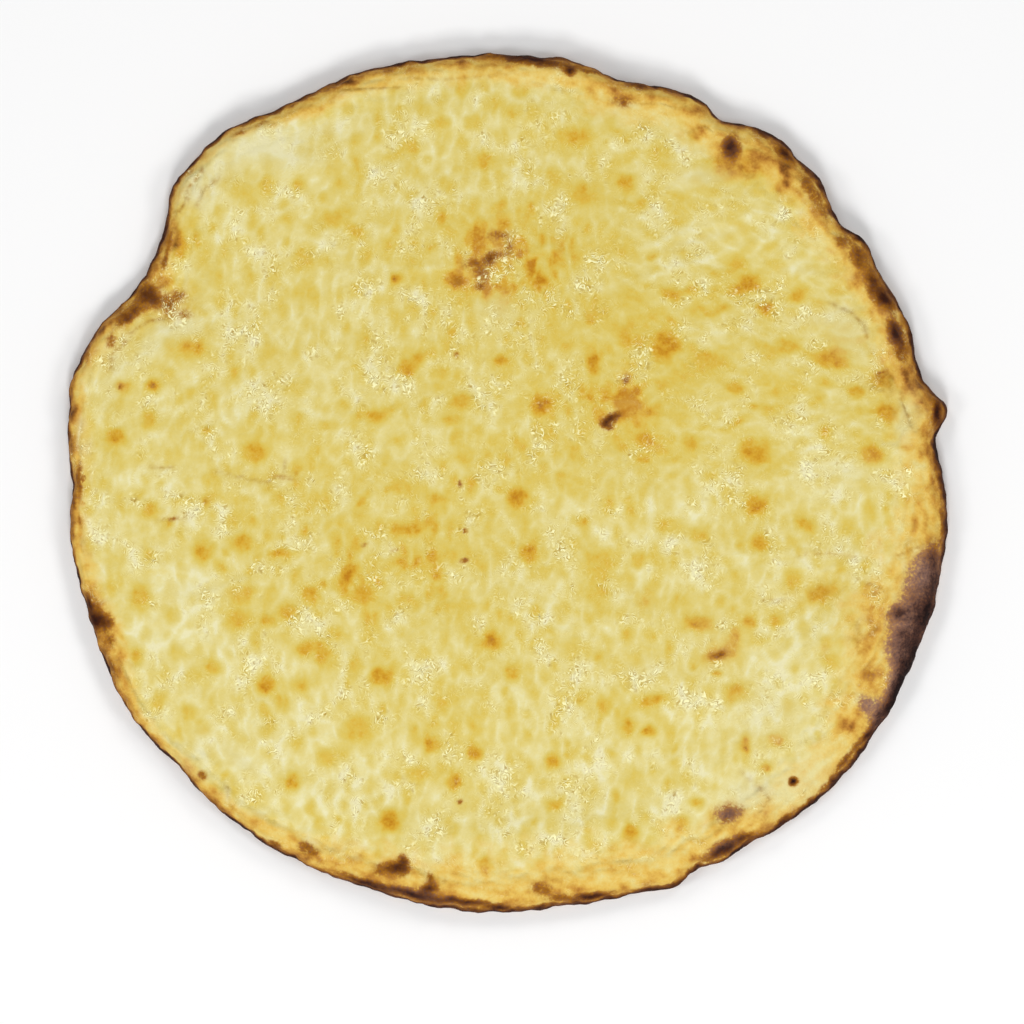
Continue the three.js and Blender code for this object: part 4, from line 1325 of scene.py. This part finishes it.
def baked_surface(finish, noise):
    """Joins the colour, gloss and bump that cheese and crust share. It gives back the colour."""
    surface = finish.surface.inputs
    coarse, fine = noise(2.2, 1), noise(0.8, 3)
    crust, pale, ash = finish.mark("crust"), finish.mark("pale"), finish.mark("ash")
    brown = finish.mark("brown") + coarse * 0.06 + fine * 0.03
    toast = finish.mark("toast") + coarse * 0.06 + fine * 0.04
    burnt = finish.mark("burnt")
    burnt = burnt + (fine * (ash * 0.08 + 0.07) + coarse * 0.08) * finish.step(burnt, 0.02, 0.3)
    base = finish.mix(crust, finish.ramp(brown, CHEESE_COLOURS), finish.ramp(toast, CRUST_COLOURS))
    base = finish.mix(pale * PALE_SHARE, base, PALE_DOUGH)
    # folds are painted darker: partly a toasted crease, partly painted shade in and beside the groove
    base = finish.mix(finish.mark("crease_and_painted_shade") * (coarse * 0.4 + 0.4), base, TOASTED_CREASE_AND_PAINTED_SHADE)
    char = finish.mix(ash + fine * 0.25, finish.ramp(burnt, BURNT_COLOURS), finish.ramp(burnt, ASHEN_COLOURS))
    base = finish.mix(finish.step(burnt, 0.04, 0.3), base, char)

    # the fat's painted glints and painted shade are left off where the surface is burnt, toasted or browned
    bare = (1 - finish.step(burnt, 0.1, 0.5)) * (1 - finish.step(toast, 0.45, 0.75) * crust)
    bare = bare * (1 - finish.step(brown, 0.75, 1.0) * 0.6)
    fat_and_painted_glints = finish.mark("fat_and_painted_glints") * (noise(1.9, 4) * 0.8 + 1) * bare
    wrinkles = finish.sum("SINE", noise(2.6, 5, 0.5, 1.0, (1, 1, 1), 0.5) * 9 + noise(1.1, 6) * 0.8, 0)
    squiggles = wrinkles * (noise(1.3, 7) + 0.6)
    # painted highlight: the crests of the fat's wrinkles are painted pale, standing in for glints
    base = finish.mix(squiggles * fat_and_painted_glints * PAINTED_GLINT_GAIN, base, PAINTED_GLINT)
    # painted shade: the hollows between the crests are painted darker amber
    painted_hollow_shade = squiggles * finish.sum("MINIMUM", fat_and_painted_glints, PAINTED_HOLLOW_SHADE_LIMIT) * -PAINTED_HOLLOW_SHADE_GAIN
    base = finish.mix(painted_hollow_shade, base, PAINTED_HOLLOW_SHADE)
    finish.join(surface["Roughness"], 0.6 + burnt * 0.3)
    finish.join(surface["Specular IOR Level"], BASE_SHINE)
    finish.join(surface["Coat Weight"], finish.mark("wet"))
    finish.join(surface["Coat Roughness"], COAT_ROUGHNESS)
    heights = squiggles * (fat_and_painted_glints * 0.045 + 0.004) + coarse * 0.045 + noise(1.1, 8) * (crust * 0.03 + 0.016)
    bump = {"Height": heights, "Distance": MM, "Strength": 1.0}
    finish.join(surface["Normal"], finish.node("ShaderNodeBump", {}, bump))
    return base


# %% [markdown]
# ## The cheese's finish
# Melted cheese is glossy where fat lies on it and satin elsewhere. The glints on the fat's fine wrinkles are
# painted into the colour: a painted highlight on their crests and painted amber shade in the hollows between.
# A thin clear coat adds a wet shine there, and the bump of the wrinkles breaks it into points.

# %% The cheese's finish
cheese_finish = Finish("melted_cheese_finish")
cheese_colour = baked_surface(cheese_finish, patterns(cheese_finish))
cheese_finish.join(cheese_finish.surface.inputs["Base Color"], cheese_colour)
cheese.data.materials.append(cheese_finish.material)
print("the cheese's finish has", len(cheese_finish.nodes), "nodes")

# %% [markdown]
# ## The crust's finish
# The crust is the same baked surface, only more toasted. Its underside lay on the hot stone: pale and
# floury, with brown leopard spots.

# %% The crust's finish
STONE_DOUGH = colour(216, 184, 132)
FLOURED = colour(232, 208, 162)
LEOPARD = colour(166, 110, 58)
SCORCHED = colour(84, 50, 32)

crust_finish = Finish("toasted_crust_finish")
noise = patterns(crust_finish)
crust_colour = baked_surface(crust_finish, noise)
leopard = crust_finish.step(noise(9, 11, 0.55, 3.0) + noise(2.2, 12) * 0.4, 0.1, 0.8)
scorch = crust_finish.step(noise(6, 13, 0.6, 3.0), 0.7, 1.2)
flour = crust_finish.step(noise(1.2, 14), -0.75, 1.0)
stone_side = crust_finish.mix(flour, STONE_DOUGH, FLOURED)
stone_side = crust_finish.mix(leopard * 0.8, stone_side, LEOPARD)
stone_side = crust_finish.mix(scorch * 0.85, stone_side, SCORCHED)
crust_colour = crust_finish.mix(crust_finish.mark("under"), crust_colour, stone_side)
crust_finish.join(crust_finish.surface.inputs["Base Color"], crust_colour)
bread.data.materials.append(crust_finish.material)
print("the crust's finish has", len(crust_finish.nodes), "nodes")

# %% [markdown]
# ## Riding on the model
# Each piece rides on the model's body, and the model's own solid that it stands for is hidden.

# %% Riding on the model
for piece, node, slot in [(bread, "bread", "toasted_dough"), (cheese, "cheese", "melted_cheese")]:
    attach(piece, "root")
    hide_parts(node)
